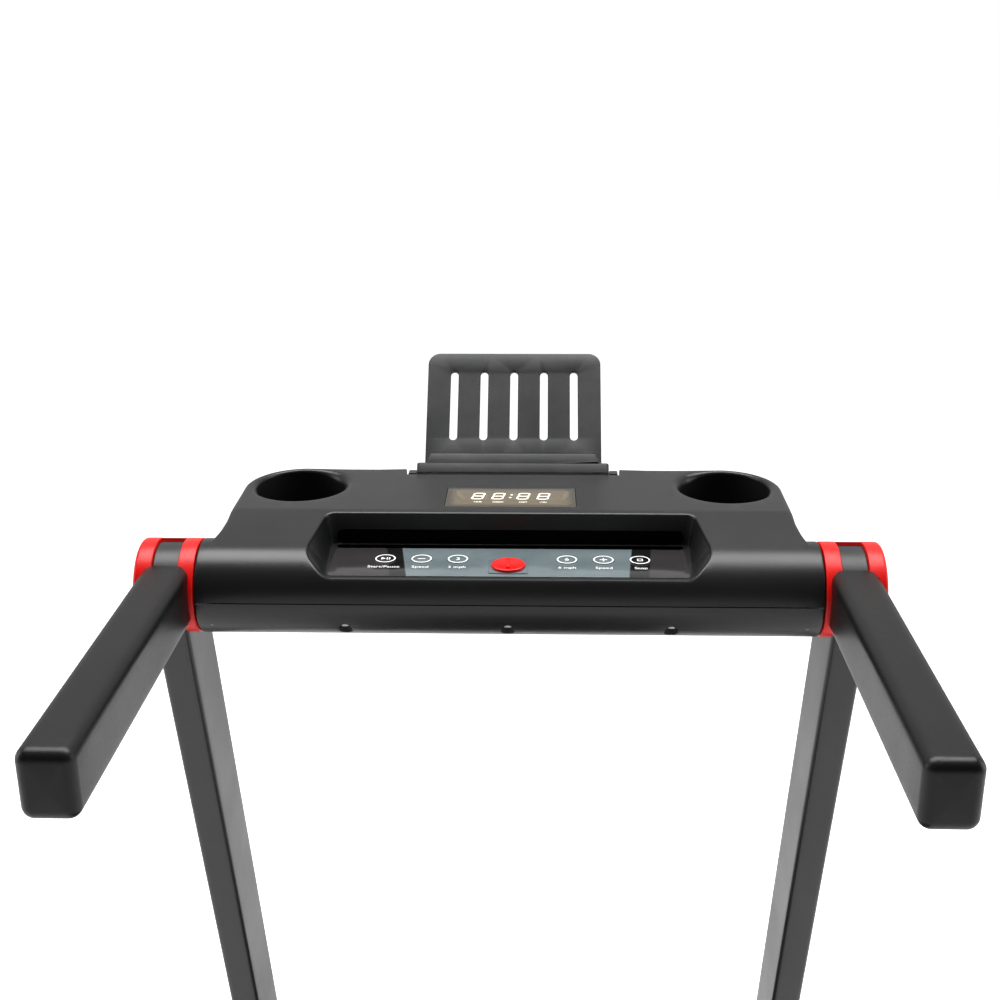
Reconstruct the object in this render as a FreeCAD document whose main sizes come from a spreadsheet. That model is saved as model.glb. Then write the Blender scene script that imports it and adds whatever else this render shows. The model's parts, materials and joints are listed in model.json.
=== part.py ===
"""Folding motorised treadmill, as a parametric FreeCAD document.

Frame: +X to the user's right, +Y forward (towards the motor), +Z up, millimetres.  The origin is on
the floor, under the middle of the machine.  The user stands on the belt and faces +Y.  Console,
handles and pivot housings are drawn about the tilt axis at the top of the uprights and then placed
there; what turns at the foot of the uprights is drawn about the fold axis in the same way.
"""
import FreeCAD
import Part

import math
import os
import re

SIZES = {
    # overall and pivots
    "overall_length": 1290, "tilt_y": 225, "tilt_z": 1000, "fold_y": 450, "fold_z": 190,
    "run_clear": 0.05, "free_gap": 0.3,
    # base frame
    "rail_in": 232, "rail_wide": 30, "rail_low": 55, "rail_tall": 50, "tube_wall": 2,
    "rail_back": -600, "rail_front": 600, "member_low": 81, "member_tall": 22, "member_wide": 40,
    "cross_half": 318, "cross_low": 30, "cross_wide": 50, "front_foot_x": 292, "rear_foot_y": -540,
    "foot_pad": 22,
    # deck, belt and rollers
    "belt_half": 200, "belt_thick": 2, "roller_z": 102, "belt_bend": 26, "roller_wide": 203,
    "front_roller_y": 365, "rear_roller_y": -590, "axle_rad": 6, "pulley_rad": 36, "pulley_in": 206,
    "pulley_wide": 15, "deck_half": 225, "deck_back": -555, "deck_front": 325, "deck_thick": 15,
    "damper_rad": 15, "damper_x": 170,
    # covers
    "cover_in": 204, "cover_out": 265, "cover_top": 136, "cover_low": 58, "cover_wall": 3,
    "hood_back": 318, "hood_front": 642, "hood_top": 188, "hood_half": 262, "cap_long": 45,
    # drive
    "motor_y": 505, "motor_z": 108, "motor_rad": 40, "motor_left": -130, "motor_right": 40,
    "drive_rad": 18, "drive_belt_wide": 11, "flywheel_rad": 43,
    # front wheels
    "wheel_y": 585, "wheel_z": 28, "wheel_rad": 25, "wheel_in": 236, "wheel_wide": 22, "wheel_pin": 4,
    # fold pivot
    "cheek_in": 262, "cheek_wall": 6, "cheek_out": 312, "stop_rad": 6, "knob_rad": 24, "knob_long": 26,
    # uprights
    "tube_in": 278, "tube_wide": 30, "tube_deep": 70, "tube_tail": 45, "sleeve_rad": 10,
    # pivot housings
    "ring_rad": 41.3, "housing_in": 268, "slot_in": 282.2, "slot_out": 304.9, "housing_out": 320,
    "ring_chamfer": 4.5, "hub_rad": 38, "bush_rad": 15, "pipe_rad": 12.5, "pipe_half": 315,
    # handles
    "grip_in": 272, "grip_wide": 41, "grip_top": 29.7, "grip_low": -23.5, "grip_end": -341,
    "grip_fillet": 8, "arm_in": 277.5, "arm_wide": 30, "arm_top": 22, "arm_low": -16,
    # console
    "nose_half": 267, "shell_wall": 3, "rise_angle": 8, "crease_y": 58.3, "deck_level": 49.9,
    "console_back": 175, "console_chin": -12, "console_half": 253.5, "corner_rad": 55, "split_level": 0.8,
    "cup_x": 200.8, "cup_y": 127.5, "cup_rad": 41.5, "cup_wall": 2, "cup_floor": -3,
    "tray_back": 51.7, "panel_level": 20, "panel_half": 155.5, "panel_back": 37.7,
    "pocket_floor": 8, "window_half": 60, "window_front": 68, "window_long": 50,
    "notch_half": 103.8, "notch_front": 158, "notch_floor": 36,
    # keys
    "key_rad": 9.1, "key_y": 12, "key_pitch": 31.9, "key_left": -108.5, "key_right": 50.9,
    "puck_rad": 14.6, "puck_y": -5, "seat_half": 17,
    # tablet holder
    "holder_lean": 40, "holder_y": 183, "holder_z": 46.4, "holder_half": 93.5, "holder_tall": 125,
    "holder_pin_y": 181, "holder_pin_z": 41, "barrel_rad": 4.5, "holder_pin_rad": 2,
}

doc = FreeCAD.newDocument("treadmill")
sheet = doc.addObject("Spreadsheet::Sheet", "Sizes")
for row, (alias, number) in enumerate(SIZES.items(), start=1):
    sheet.set(f"A{row}", alias)
    sheet.set(f"B{row}", str(number))
    sheet.setAlias(f"B{row}", alias)
doc.recompute()

PARTS = []
WORD = re.compile(r"(?<!\.)\b[a-z]\w*")
TURN = {"X": FreeCAD.Rotation(FreeCAD.Vector(0, 1, 0), 90),
        "Y": FreeCAD.Rotation(FreeCAD.Vector(1, 0, 0), -90),
        "Z": FreeCAD.Rotation()}


def size(alias):
    """The number in the sheet's cell of that name."""
    return float(sheet.get(alias))


def rule(text):
    """An expression in the sheet's names, as FreeCAD writes it."""
    return WORD.sub(lambda word: "Sizes." + word.group() if word.group() in SIZES else word.group(), str(text))


def bind(thing, **rules):
    """Bind properties to expressions; a double underscore stands for the dot in a property's path."""
    for path, text in rules.items():
        thing.setExpression(path.replace("__", "."), rule(text))
    return thing


def part(name, thing):
    """Name a finished sub-part, which is written to its own file."""
    thing.Label = name
    PARTS.append(thing)
    return thing


def box(x, y, z):
    """A block between two expressions along each axis."""
    block = doc.addObject("Part::Box", "Block")
    spans = [f"({high}) - ({low})" for low, high in (x, y, z)]
    bind(block, Length=spans[0], Width=spans[1], Height=spans[2])
    return bind(block, Placement__Base__x=x[0], Placement__Base__y=y[0], Placement__Base__z=z[0])


def rod(axis, radius, span, at):
    """A cylinder along an axis, between two expressions, at two expressions on the other axes."""
    low, high = span
    cylinder = doc.addObject("Part::Cylinder", "Rod")
    cylinder.Placement = FreeCAD.Placement(FreeCAD.Vector(), TURN[axis])
    where = {"X": (low, *at), "Y": (at[0], low, at[1]), "Z": (*at, low)}[axis]
    bind(cylinder, Radius=radius, Height=f"({high}) - ({low})")
    return bind(cylinder, Placement__Base__x=where[0], Placement__Base__y=where[1], Placement__Base__z=where[2])


def fuse(*things):
    """One solid from several that meet."""
    joined = doc.addObject("Part::MultiFuse", "Joined")
    joined.Shapes = list(things)
    return joined


def cut(base, *tools):
    """The base without its tools."""
    carved = doc.addObject("Part::Cut", "Carved")
    carved.Base = base
    carved.Tool = tools[0] if len(tools) == 1 else fuse(*tools)
    return carved


def common(base, tool):
    """What two solids share."""
    shared = doc.addObject("Part::Common", "Shared")
    shared.Base = base
    shared.Tool = tool
    return shared


def group(*things):
    """Separate solids in one node."""
    bundle = doc.addObject("Part::Compound", "Bundle")
    bundle.Links = list(things)
    return bundle


def mirror(source):
    """The same piece on the user's other side."""
    image = doc.addObject("Part::Mirroring", "Image")
    image.Source = source
    image.Normal = (1, 0, 0)
    return image


def pair(name, right):
    """A right-hand piece and its mirror image, as two sub-parts."""
    part(f"{name}_right", right)
    part(f"{name}_left", mirror(right))
    return right


def place(thing, y, z, lean=None):
    """Move a piece drawn about a pivot to that pivot, turned about X by an expression in degrees."""
    if lean:
        thing.Placement = FreeCAD.Placement(FreeCAD.Vector(), FreeCAD.Rotation(FreeCAD.Vector(1, 0, 0), 1))
        bind(thing, Placement__Rotation__Angle=lean)
    own = dict(thing.ExpressionEngine)
    own_y, own_z = (own.get(f".Placement.Base.{axis}", "0") for axis in "yz")
    return bind(thing, Placement__Base__y=f"({own_y}) + {y}", Placement__Base__z=f"({own_z}) + {z}")


def at_tilt(thing):
    return place(thing, "tilt_y", "tilt_z")


def at_fold(thing):
    return place(thing, "fold_y", "fold_z")


def draw(role, steps, span):
    """A PartDesign pad of an outline on an origin plane, from one expression to another.

    steps are points, joined by straight lines; a pair of points makes an arc through the first of
    them to the second.  On YZ_Plane a point is (y, z), on XY_Plane it is (x, y).
    """
    body = doc.addObject("PartDesign::Body", "Drawn")
    sketch = body.newObject("Sketcher::SketchObject", "Outline")
    plane = [feature for feature in body.Origin.OriginFeatures if feature.Role == role][0]
    sketch.AttachmentSupport = [(plane, "")]
    sketch.MapMode = "FlatFace"
    start = here = FreeCAD.Vector(*steps[0], 0)
    for step in steps[1:] + [steps[0]]:
        if isinstance(step[0], tuple):
            through, end = (FreeCAD.Vector(*point, 0) for point in step)
            sketch.addGeometry(Part.Arc(here, through, end), False)
            here = end
            continue
        end = FreeCAD.Vector(*step, 0)
        if (end - here).Length > 1e-6:
            sketch.addGeometry(Part.LineSegment(here, end), False)
        here = end
    assert (here - start).Length < 1e-6
    pad = body.newObject("PartDesign::Pad", "Pad")
    pad.Profile = sketch
    bind(pad, Length=f"({span[1]}) - ({span[0]})")
    axis = "x" if role == "YZ_Plane" else "z"
    body.setExpression(f"Placement.Base.{axis}", rule(span[0]))
    return body


def side_profile(steps, span):
    return draw("YZ_Plane", steps, span)


def plan(steps, span):
    return draw("XY_Plane", steps, span)


def inset(points, wall):
    """The points of a closed straight-sided outline, moved inwards by a wall's thickness."""
    count = len(points)
    area = sum(points[i - 1][0] * points[i][1] - points[i][0] * points[i - 1][1] for i in range(count))
    side = math.copysign(wall, area)
    lines = []
    for i in range(count):
        (ax, ay), (bx, by) = points[i - 1], points[i]
        span = math.hypot(bx - ax, by - ay)
        normal = (-(by - ay) / span, (bx - ax) / span)
        lines.append((normal, normal[0] * ax + normal[1] * ay + side))
    moved = []
    for i in range(count):
        (a, reach_a), (b, reach_b) = lines[i], lines[(i + 1) % count]
        turn = a[0] * b[1] - a[1] * b[0]
        moved.append(((reach_a * b[1] - reach_b * a[1]) / turn, (a[0] * reach_b - b[0] * reach_a) / turn))
    return moved


def polar(radius, degrees, centre=(0, 0)):
    """A point at an angle from +Y (or +X in plan), turning towards +Z (or +Y)."""
    angle = math.radians(degrees)
    return centre[0] + radius * math.cos(angle), centre[1] + radius * math.sin(angle)


def rounded(thing, radius, wanted):
    """Fillet the edges whose middle point passes a test."""
    doc.recompute()
    fillet = doc.addObject("Part::Fillet", "Rounded")
    fillet.Base = thing
    numbers = [i + 1 for i, edge in enumerate(thing.Shape.Edges) if wanted(edge)]
    fillet.Edges = [(number, size(radius), size(radius)) for number in numbers]
    return fillet


def middle(edge):
    return edge.valueAt((edge.FirstParameter + edge.LastParameter) / 2)


# ---------------------------------------------------------------- base frame

def tube(x, y, z, open_axis):
    """A square tube with the sheet's wall, open along one axis."""
    spans = {"X": x, "Y": y, "Z": z}
    inner = {axis: span if axis == open_axis else (f"{span[0]} + tube_wall", f"{span[1]} - tube_wall")
             for axis, span in spans.items()}
    return cut(box(x, y, z), box(inner["X"], inner["Y"], inner["Z"]))


def base_frame():
    pair("side_rail", tube(("rail_in", "rail_in + rail_wide"), ("rail_back", "rail_front"),
                           ("rail_low", "rail_low + rail_tall"), "Y"))
    members = [tube(("-rail_in", "rail_in"), (f"{centre} - member_wide / 2", f"{centre} + member_wide / 2"),
                    ("member_low", "member_low + member_tall"), "X") for centre in MEMBER_CENTRES]
    part("deck_cross_members", group(*members))
    part("base_cross_tube", tube(("-cross_half", "cross_half"),
                                 ("fold_y - cross_wide / 2", "fold_y + cross_wide / 2"),
                                 ("cross_low", "rail_low"), "X"))
    feet = []
    for side in (-1, 1):
        front = (f"{side} * front_foot_x", "fold_y")
        feet.append(fuse(rod("Z", 24, (0, 20), front), rod("Z", 10, (20, "cross_low"), front)))
        rear = (f"{side} * (rail_in + rail_wide / 2)", "rear_foot_y")
        feet.append(fuse(rod("Z", "foot_pad", (0, 20), rear), rod("Z", 5, (20, "rail_low"), rear)))
    part("rubber_feet", group(*feet))


def deck():
    top = "roller_z + belt_bend"
    part("deck_board", box(("-deck_half", "deck_half"), ("deck_back", "deck_front"), (f"{top} - deck_thick", top)))
    dampers = [rod("Z", "damper_rad", ("member_low + member_tall", f"{top} - deck_thick"), (f"{side} * damper_x", y))
               for y in MEMBER_CENTRES for side in (-1, 1)]
    part("deck_dampers", group(*dampers))


def loop(front, back, height, front_rad, back_rad, wall, span):
    """A belt's closed loop round two rollers of any two radii, as a pad of its outline less its inside."""
    distance = front - back
    tilt = math.degrees(math.asin((front_rad - back_rad) / distance))
    rings = []
    for extra in (wall, 0):
        ends = (front, height), (back, height)
        a, b = front_rad + extra, back_rad + extra
        steps = [polar(a, -90 - tilt, ends[0]), (polar(a, 0, ends[0]), polar(a, 90 + tilt, ends[0])),
                 polar(b, 90 + tilt, ends[1]), (polar(b, 180, ends[1]), polar(b, -90 - tilt, ends[1]))]
        rings.append(side_profile(steps, span))
    return cut(*rings)


def belt_and_rollers():
    bend = size("belt_bend")
    part("walking_belt", loop(size("front_roller_y"), size("rear_roller_y"), size("roller_z"), bend, bend,
                              size("belt_thick"), ("-belt_half", "belt_half")))
    rollers = {}
    for name in ("front", "rear"):
        at = (f"{name}_roller_y", "roller_z")
        drum = rod("X", "belt_bend - free_gap", ("-roller_wide", "roller_wide"), at)
        hollow = rod("X", "belt_bend - free_gap - tube_wall", ("25 - roller_wide", "roller_wide - 25"), at)
        bore = rod("X", "axle_rad + run_clear", ("-roller_wide - 1", "roller_wide + 30"), at)
        if name == "front":
            rim = rod("X", "pulley_rad", ("pulley_in", "pulley_in + pulley_wide"), at)
            neck = rod("X", 14, ("roller_wide - 1", "pulley_in + 1"), at)
            drum = fuse(drum, neck, rim)
        rollers[name] = part(f"{name}_roller", cut(drum, hollow, bore))
    axles = [rod("X", "axle_rad", ("-rail_in", "rail_in"), (f"{name}_roller_y", "roller_z")) for name in rollers]
    part("roller_axles", group(*axles))
    bolts = [rod("Y", 4, ("-overall_length / 2 + 4", "rear_roller_y - axle_rad"), (f"{side} * 218", "roller_z"))
             for side in (-1, 1)]
    heads = [rod("Y", 7, ("-overall_length / 2", "-overall_length / 2 + 4"), (f"{side} * 218", "roller_z"))
             for side in (-1, 1)]
    part("tension_bolts", group(*[fuse(bolt, head) for bolt, head in zip(bolts, heads)]))


# ---------------------------------------------------------------- covers of the base

def foot_rails():
    """The landing strips each side of the belt: a top, an outer wall and a web that stands on the rail."""
    along = ("rail_back", "hood_back")
    top = box(("cover_in", "cover_out"), along, ("cover_top - cover_wall", "cover_top"))
    outer = box(("cover_out - cover_wall", "cover_out"), along, ("cover_low", "cover_top"))
    lip = box(("cover_in", "cover_in + cover_wall"), along, ("roller_z + belt_bend + 1", "cover_top"))
    web = box(("rail_in + 10", "rail_in + 13"), along, ("rail_low + rail_tall", "cover_top"))
    pair("foot_rail", fuse(top, outer, lip, web))


def rear_caps():
    outer = box(("cover_in", "cover_out"), ("rail_back - cap_long", "rail_back"), ("cover_low - 8", "cover_top"))
    inner = box(("cover_in + cover_wall", "cover_out - cover_wall"),
                ("rail_back - cap_long + cover_wall", "rail_back + 1"), ("cover_low - 5", "cover_top - cover_wall"))
    shaft_slot = box(("cover_in - 1", "cover_in + 4"), ("rear_roller_y - 12", "rail_back + 1"),
                     ("roller_z - 8", "roller_z + 8"))
    bolt_hole = rod("Y", 4.2, ("rail_back - cap_long - 1", "rail_back"), (218, "roller_z"))
    head_hole = rod("Y", 7.5, ("rail_back - cap_long - 1", "rail_back - cap_long + 4"), (218, "roller_z"))
    soft = rounded(outer, "ring_chamfer", lambda edge: middle(edge).y < size("rail_back") - size("cap_long") + 1)
    pair("rear_cap", cut(soft, inner, shaft_slot, bolt_hole, head_hole))


def motor_hood():
    """A hood with a sloping back, over the front roller and the motor, with a nose that comes down."""
    back, front, top = size("hood_back"), size("hood_front"), size("hood_top")
    outline = [(back, 20), (back, 134), (back + 14, 144), (back + 85, top - 5), (back + 120, top),
               (front - 80, top), (front - 20, top - 34), (front, top - 84), (front, 20)]
    outer = side_profile(outline, ("-hood_half", "hood_half"))
    inner = side_profile(inset(outline, size("cover_wall")), ("-hood_half + cover_wall", "hood_half - cover_wall"))
    over_rails = box(("-hood_half - 1", "hood_half + 1"), ("hood_back - 1", "rail_front + 2"),
                     (0, "rail_low + rail_tall"))
    under_nose = box(("-hood_half - 1", "hood_half + 1"), ("rail_front", "hood_front + 1"), (0, "cover_low"))
    belt_mouth = box(("-cover_out", "cover_out"), ("hood_back - 1", "hood_back + 8"), (0, "roller_z + belt_bend + 4"))
    panel_hole = box((-205, -105), ("hood_front - 10", "hood_front + 1"), (74, 106))
    part("motor_hood", cut(outer, inner, over_rails, under_nose, belt_mouth, panel_hole))


def power_panel():
    """The inlet and the switch's frame on one plate in the hood's nose, and the rocker in it."""
    face = ("hood_front - 3", "hood_front")
    plate = box((-205, -105), face, (74, 106))
    inlet_hole = box((-195, -167), ("hood_front - 2", "hood_front + 1"), (80, 100))
    inlet_body = box((-197, -165), ("hood_front - 26", "hood_front - 2"), (78, 102))
    inlet_void = box((-193, -169), ("hood_front - 18", "hood_front - 1"), (82, 98))
    blades = [box((x, x + 2), ("hood_front - 18", "hood_front - 5"), (88, 94)) for x in (-188, -182, -176)]
    frame = box((-147, -113), ("hood_front - 16", "hood_front + 1"), (77, 103))
    frame_hole = box((-143, -117), ("hood_front - 12", "hood_front + 2"), (80, 100))
    shell = cut(fuse(plate, inlet_body, frame), inlet_hole, inlet_void, frame_hole)
    part("inlet_panel", fuse(shell, *blades))
    rocker = side_profile([(-6, -9), (2.2, -9), (0.6, 0), (2.2, 9), (-6, 9)], (-142, -118))
    part("power_rocker", place(rocker, "hood_front", 90))


# ---------------------------------------------------------------- drive

def drive():
    inside = ("-rail_in", "rail_in")
    pan = box(inside, ("hood_back + 20", "rail_front"), ("rail_low", "rail_low + 2"))
    cradle = box((-105, 15), ("motor_y - 30", "motor_y + 30"), ("rail_low + 2", "motor_z - 10"))
    can = rod("X", "motor_rad", ("motor_left", "motor_right"), ("motor_y", "motor_z"))
    part("motor_pan", cut(fuse(pan, cradle), can))
    bore = rod("X", "axle_rad + run_clear", ("motor_left + 8", "motor_right + 1"), ("motor_y", "motor_z"))
    ribs = [rod("X", "motor_rad + 1", (x, x + 3), ("motor_y", "motor_z")) for x in (-131, 38)]
    part("motor_can", cut(fuse(rod("X", "motor_rad", ("motor_left", "motor_right"), ("motor_y", "motor_z")),
                               *ribs), bore))
    shaft = rod("X", "axle_rad", ("motor_left + 9", "pulley_in + pulley_wide"), ("motor_y", "motor_z"))
    wheel = rod("X", "flywheel_rad", (60, 74), ("motor_y", "motor_z"))
    pulley = rod("X", "drive_rad", ("pulley_in", "pulley_in + pulley_wide"), ("motor_y", "motor_z"))
    part("motor_rotor", fuse(shaft, wheel, pulley))
    span = ("pulley_in + 2", "pulley_in + 2 + drive_belt_wide")
    part("drive_belt", drive_loop(span))
    board = box((-222, -146), (420, 560), (68, 70))
    sink = box((-220, -196), (430, 550), (70, 112))
    fins = [box((-217 + 6 * i, -214 + 6 * i), (429, 551), (76, 113)) for i in range(3)]
    chips = [rod("Z", 11, (70, 100), (-178, 446)), rod("Z", 11, (70, 100), (-178, 474)),
             box((-190, -165), (500, 530), (70, 88))]
    posts = [rod("Z", 4, ("rail_low + 2", 68), (x, y)) for x in (-216, -152) for y in (428, 552)]
    part("controller", group(fuse(board, cut(sink, *fins), *chips, *posts)))


def drive_loop(span):
    """The ribbed belt between the motor's pulley and the front roller's, whose centres differ in height."""
    near = FreeCAD.Vector(0, size("front_roller_y"), size("roller_z"))
    far = FreeCAD.Vector(0, size("motor_y"), size("motor_z"))
    slope = math.degrees(math.atan2(far.z - near.z, far.y - near.y))
    distance = (far - near).Length
    gap = size("free_gap")
    level = loop(distance, 0, 0, size("drive_rad") + gap, size("pulley_rad") + gap, 2, span)
    level.Placement = FreeCAD.Placement(near, FreeCAD.Rotation(FreeCAD.Vector(1, 0, 0), slope))
    return level


def front_wheels():
    at = ("wheel_y", "wheel_z")
    tyre = rod("X", "wheel_rad", ("wheel_in", "wheel_in + wheel_wide"), at)
    dish = rod("X", "wheel_rad - 8", ("wheel_in + wheel_wide - 4", "wheel_in + wheel_wide + 1"), at)
    hub = rod("X", 9, ("wheel_in + 1", "wheel_in + wheel_wide"), at)
    bore = rod("X", "wheel_pin + run_clear", ("wheel_in - 1", "wheel_in + wheel_wide + 1"), at)
    pair("front_wheel", cut(fuse(cut(tyre, dish), hub), bore))
    cheeks = [box((x, f"{x} + 3"), ("wheel_y - 12", "wheel_y + 12"), ("wheel_z - 12", "rail_low"))
              for x in ("rail_in", "rail_in + rail_wide - 3")]
    pin = rod("X", "wheel_pin", ("rail_in", "rail_in + rail_wide"), at)
    fork = fuse(*cheeks, pin)
    part("wheel_forks", group(fork, mirror(fork)))


# ---------------------------------------------------------------- fold pivot and uprights

def hinge_brackets():
    """Two cheeks, a floor web, a stop pin and fixed spacers, drawn about the fold axis."""
    low, high = "rail_low - fold_z", 78
    outline = [(-56, size("rail_low") - size("fold_z")), (62, size("rail_low") - size("fold_z")),
               (62, -20), (46, high - 10), (38, high), (8, high), (-30, 30), (-56, -60)]
    walls = [side_profile(outline, (x, f"{x} + cheek_wall")) for x in ("cheek_in", "cheek_out")]
    web = box(("cheek_in", "cheek_out + cheek_wall"), (-56, 62), (low, f"{low} + 6"))
    lean = math.atan2(size("fold_y") - size("tilt_y"), size("tilt_z") - size("fold_z"))
    along, out = 45, size("tube_deep") / 2 + size("stop_rad") + 0.1
    stop_at = (out * math.cos(lean) - along * math.sin(lean), along * math.cos(lean) + out * math.sin(lean))
    stop = rod("X", "stop_rad", ("cheek_in", "cheek_out"), stop_at)
    spacers = [rod("X", 14, ("cheek_in", "tube_in - free_gap"), (0, 0)),
               rod("X", 14, ("tube_in + tube_wide + free_gap", "cheek_out + 1"), (0, 0))]
    bolt_hole = rod("X", "axle_rad", ("cheek_in - 1", "cheek_out + cheek_wall + 1"), (0, 0))
    pair("hinge_bracket", at_fold(cut(fuse(*walls, web, stop, *spacers), bolt_hole)))
    right = rod("X", "axle_rad", ("cheek_in", "cheek_out + cheek_wall + knob_long - 6"), (0, 0))
    part("pivot_bolts", at_fold(group(right, mirror(right))))
    knob_start = "cheek_out + cheek_wall + free_gap"
    knob = rod("X", "knob_rad", (f"{knob_start} + 5", f"{knob_start} + knob_long"), (0, 0))
    collar = rod("X", 14, (knob_start, f"{knob_start} + 6"), (0, 0))
    scallops = [rod("X", 9, (f"{knob_start} + 4", f"{knob_start} + knob_long + 1"),
                    polar(size("knob_rad") + 4, 72 * i)) for i in range(5)]
    bore = rod("X", "axle_rad + run_clear", (f"{knob_start} - 1", f"{knob_start} + knob_long - 5"), (0, 0))
    pair("lock_knob", at_fold(cut(fuse(knob, collar), bore, *scallops)))


def uprights():
    """Each tube is drawn upright about the fold axis, coped to its housing, then leaned back."""
    reach = "sqrt((fold_y - tilt_y)^2 + (tilt_z - fold_z)^2)"
    lean = "atan((fold_y - tilt_y) / (tilt_z - fold_z))"
    across, deep = ("tube_in", "tube_in + tube_wide"), ("-tube_deep / 2", "tube_deep / 2")
    body = tube(across, deep, ("-tube_tail", reach), "Z")
    plug = box(("tube_in + tube_wall", "tube_in + tube_wide - tube_wall"),
               ("-tube_deep / 2 + tube_wall", "tube_deep / 2 - tube_wall"), ("-tube_tail", "4 - tube_tail"))
    sleeve = rod("X", "sleeve_rad", across, (0, 0))
    bore = rod("X", "axle_rad + run_clear", ("tube_in - 1", "tube_in + tube_wide + 1"), (0, 0))
    cope = rod("X", "ring_rad", ("tube_in - 1", "tube_in + tube_wide + 1"), (0, reach))
    pair("upright", place(cut(fuse(body, plug, sleeve), bore, cope), "fold_y", "fold_z", lean))


def pivot_housings():
    """A ring each side of the slot in which the handle's hub turns, joined round the back of the slot."""
    drum = rod("X", "ring_rad", ("housing_in", "housing_out - ring_chamfer"), (0, 0))
    cone = doc.addObject("Part::Cone", "Bevel")
    cone.Placement = FreeCAD.Placement(FreeCAD.Vector(), TURN["X"])
    bind(cone, Radius1="ring_rad", Radius2="ring_rad - ring_chamfer", Height="ring_chamfer",
         Placement__Base__x="housing_out - ring_chamfer")
    cavity = rod("X", "hub_rad + free_gap", ("slot_in", "slot_out"), (0, 0))
    reach = 2 * size("ring_rad")
    sector = [(0, 0)] + [polar(reach, 180 - angle) for angle in (106, 64, 20, -24)]
    window = side_profile(sector, ("slot_in", "slot_out"))
    bore = rod("X", "bush_rad", ("housing_in - 1", "pipe_half + 1"), (0, 0))
    pair("pivot_housing", at_tilt(cut(fuse(drum, cone), cavity, window, bore)))
    bushes = []
    for span in (("housing_in", "slot_in"), ("slot_out", "pipe_half + 1")):
        ring = cut(rod("X", "bush_rad", span, (0, 0)), rod("X", "pipe_rad + run_clear", span, (0, 0)))
        bushes += [ring, mirror(ring)]
    part("pivot_bushes", at_tilt(group(*bushes)))


# ---------------------------------------------------------------- handles

def handles():
    hub_span = ("slot_in + free_gap", "slot_out - free_gap")
    hub = rod("X", "hub_rad", hub_span, (0, 0))
    neck_z = ("-14", "20")
    neck = box(hub_span, (-62, -30), neck_z)
    arm = box(("arm_in", "arm_in + arm_wide"), ("grip_end + 11", -58), ("arm_low", "arm_top"))
    hollow = box(("arm_in + tube_wall", "arm_in + arm_wide - tube_wall"), ("grip_end + 10", -62),
                 ("arm_low + tube_wall", "arm_top - tube_wall"))
    bore = rod("X", "pipe_rad", ("housing_in", "housing_out"), (0, 0))
    pair("handle_arm", at_tilt(cut(fuse(hub, neck, arm), hollow, bore)))
    block = box(("grip_in", "grip_in + grip_wide"), ("grip_end", -20), ("grip_low", "grip_top"))
    soft = rounded(block, "grip_fillet", lambda edge: middle(edge).y < -20 - 1)
    saddle = rod("X", "ring_rad + 0.7", ("grip_in - 1", "grip_in + grip_wide + 1"), (0, 0))
    arm_room = box(("arm_in", "arm_in + arm_wide"), ("grip_end + 11", -58), ("arm_low", "arm_top"))
    neck_room = box(hub_span, (-62, -30), neck_z)
    pair("handle_cover", at_tilt(cut(soft, saddle, arm_room, neck_room)))
    part("console_axle", at_tilt(cut(rod("X", "pipe_rad", ("-pipe_half", "pipe_half"), (0, 0)),
                                     rod("X", "pipe_rad - 2.5", ("-pipe_half - 1", "pipe_half + 1"), (0, 0)))))


# ---------------------------------------------------------------- console

def console_profile(wall):
    """The console's side outline: a round nose, a rising top, a level top, a back wall and a sloping chin."""
    radius = size("ring_rad") - wall
    rise = size("rise_angle")
    level = size("deck_level") - wall
    back = size("console_back") - wall
    chin = size("console_chin") + wall
    slope = math.degrees(math.atan2(chin + radius, back))
    return [polar(radius, 90 + rise), (size("crease_y"), level), (back, level), (back, chin),
            polar(radius, -90 + slope), (polar(radius, 180), polar(radius, 90 + rise))]


def console_plan(wall):
    """The console's plan: straight sides that widen a little at the nose, and two large round back corners."""
    half = size("console_half") - wall
    back = size("console_back") - wall
    radius = size("corner_rad") - wall
    steps = [(-half - 4, -60), (half + 4, -60), (half + 4, 0), (half, 40), (half, back - radius)]
    for centre, first in ((half - radius, 0), (radius - half, 90)):
        middle_of_corner = (centre, back - radius)
        if first:
            steps.append(polar(radius, 90, middle_of_corner))
        steps.append((polar(radius, first + 45, middle_of_corner), polar(radius, first + 90, middle_of_corner)))
    return steps + [(-half, 40), (-half - 4, 0)]


def console_solid(wall):
    """The body, and the nose's round ends, which stand out past the body's sides.

    The ends are short rods that overlap the body only at its sides, because a rod along the whole
    nose would share its round face with the body's.
    """
    ends = [rod("X", f"ring_rad - {wall}", span, (0, 0))
            for span in (("console_half - 20", f"nose_half - {wall}"), (f"{wall} - nose_half", "20 - console_half"))]
    body = common(side_profile(console_profile(wall), ("-nose_half", "nose_half")),
                  plan(console_plan(wall), (-60, 60)))
    return fuse(body, *ends)


def both_sides(corners):
    """A closed outline in plan from its right half."""
    return corners + [(-x, y) for x, y in reversed(corners)]


def ring(points, level):
    """A closed outline at a height, for a loft."""
    wire = doc.addObject("Part::Polygon", "Ring")
    wire.Nodes = [FreeCAD.Vector(x, y, 0) for x, y in points]
    wire.Close = True
    return bind(wire, Placement__Base__z=level)


def loft(*rings):
    """A solid with straight sides between two outlines of as many points."""
    body = doc.addObject("Part::Loft", "Lofted")
    body.Sections = list(rings)
    body.Solid = True
    body.Ruled = True
    return body


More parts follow.
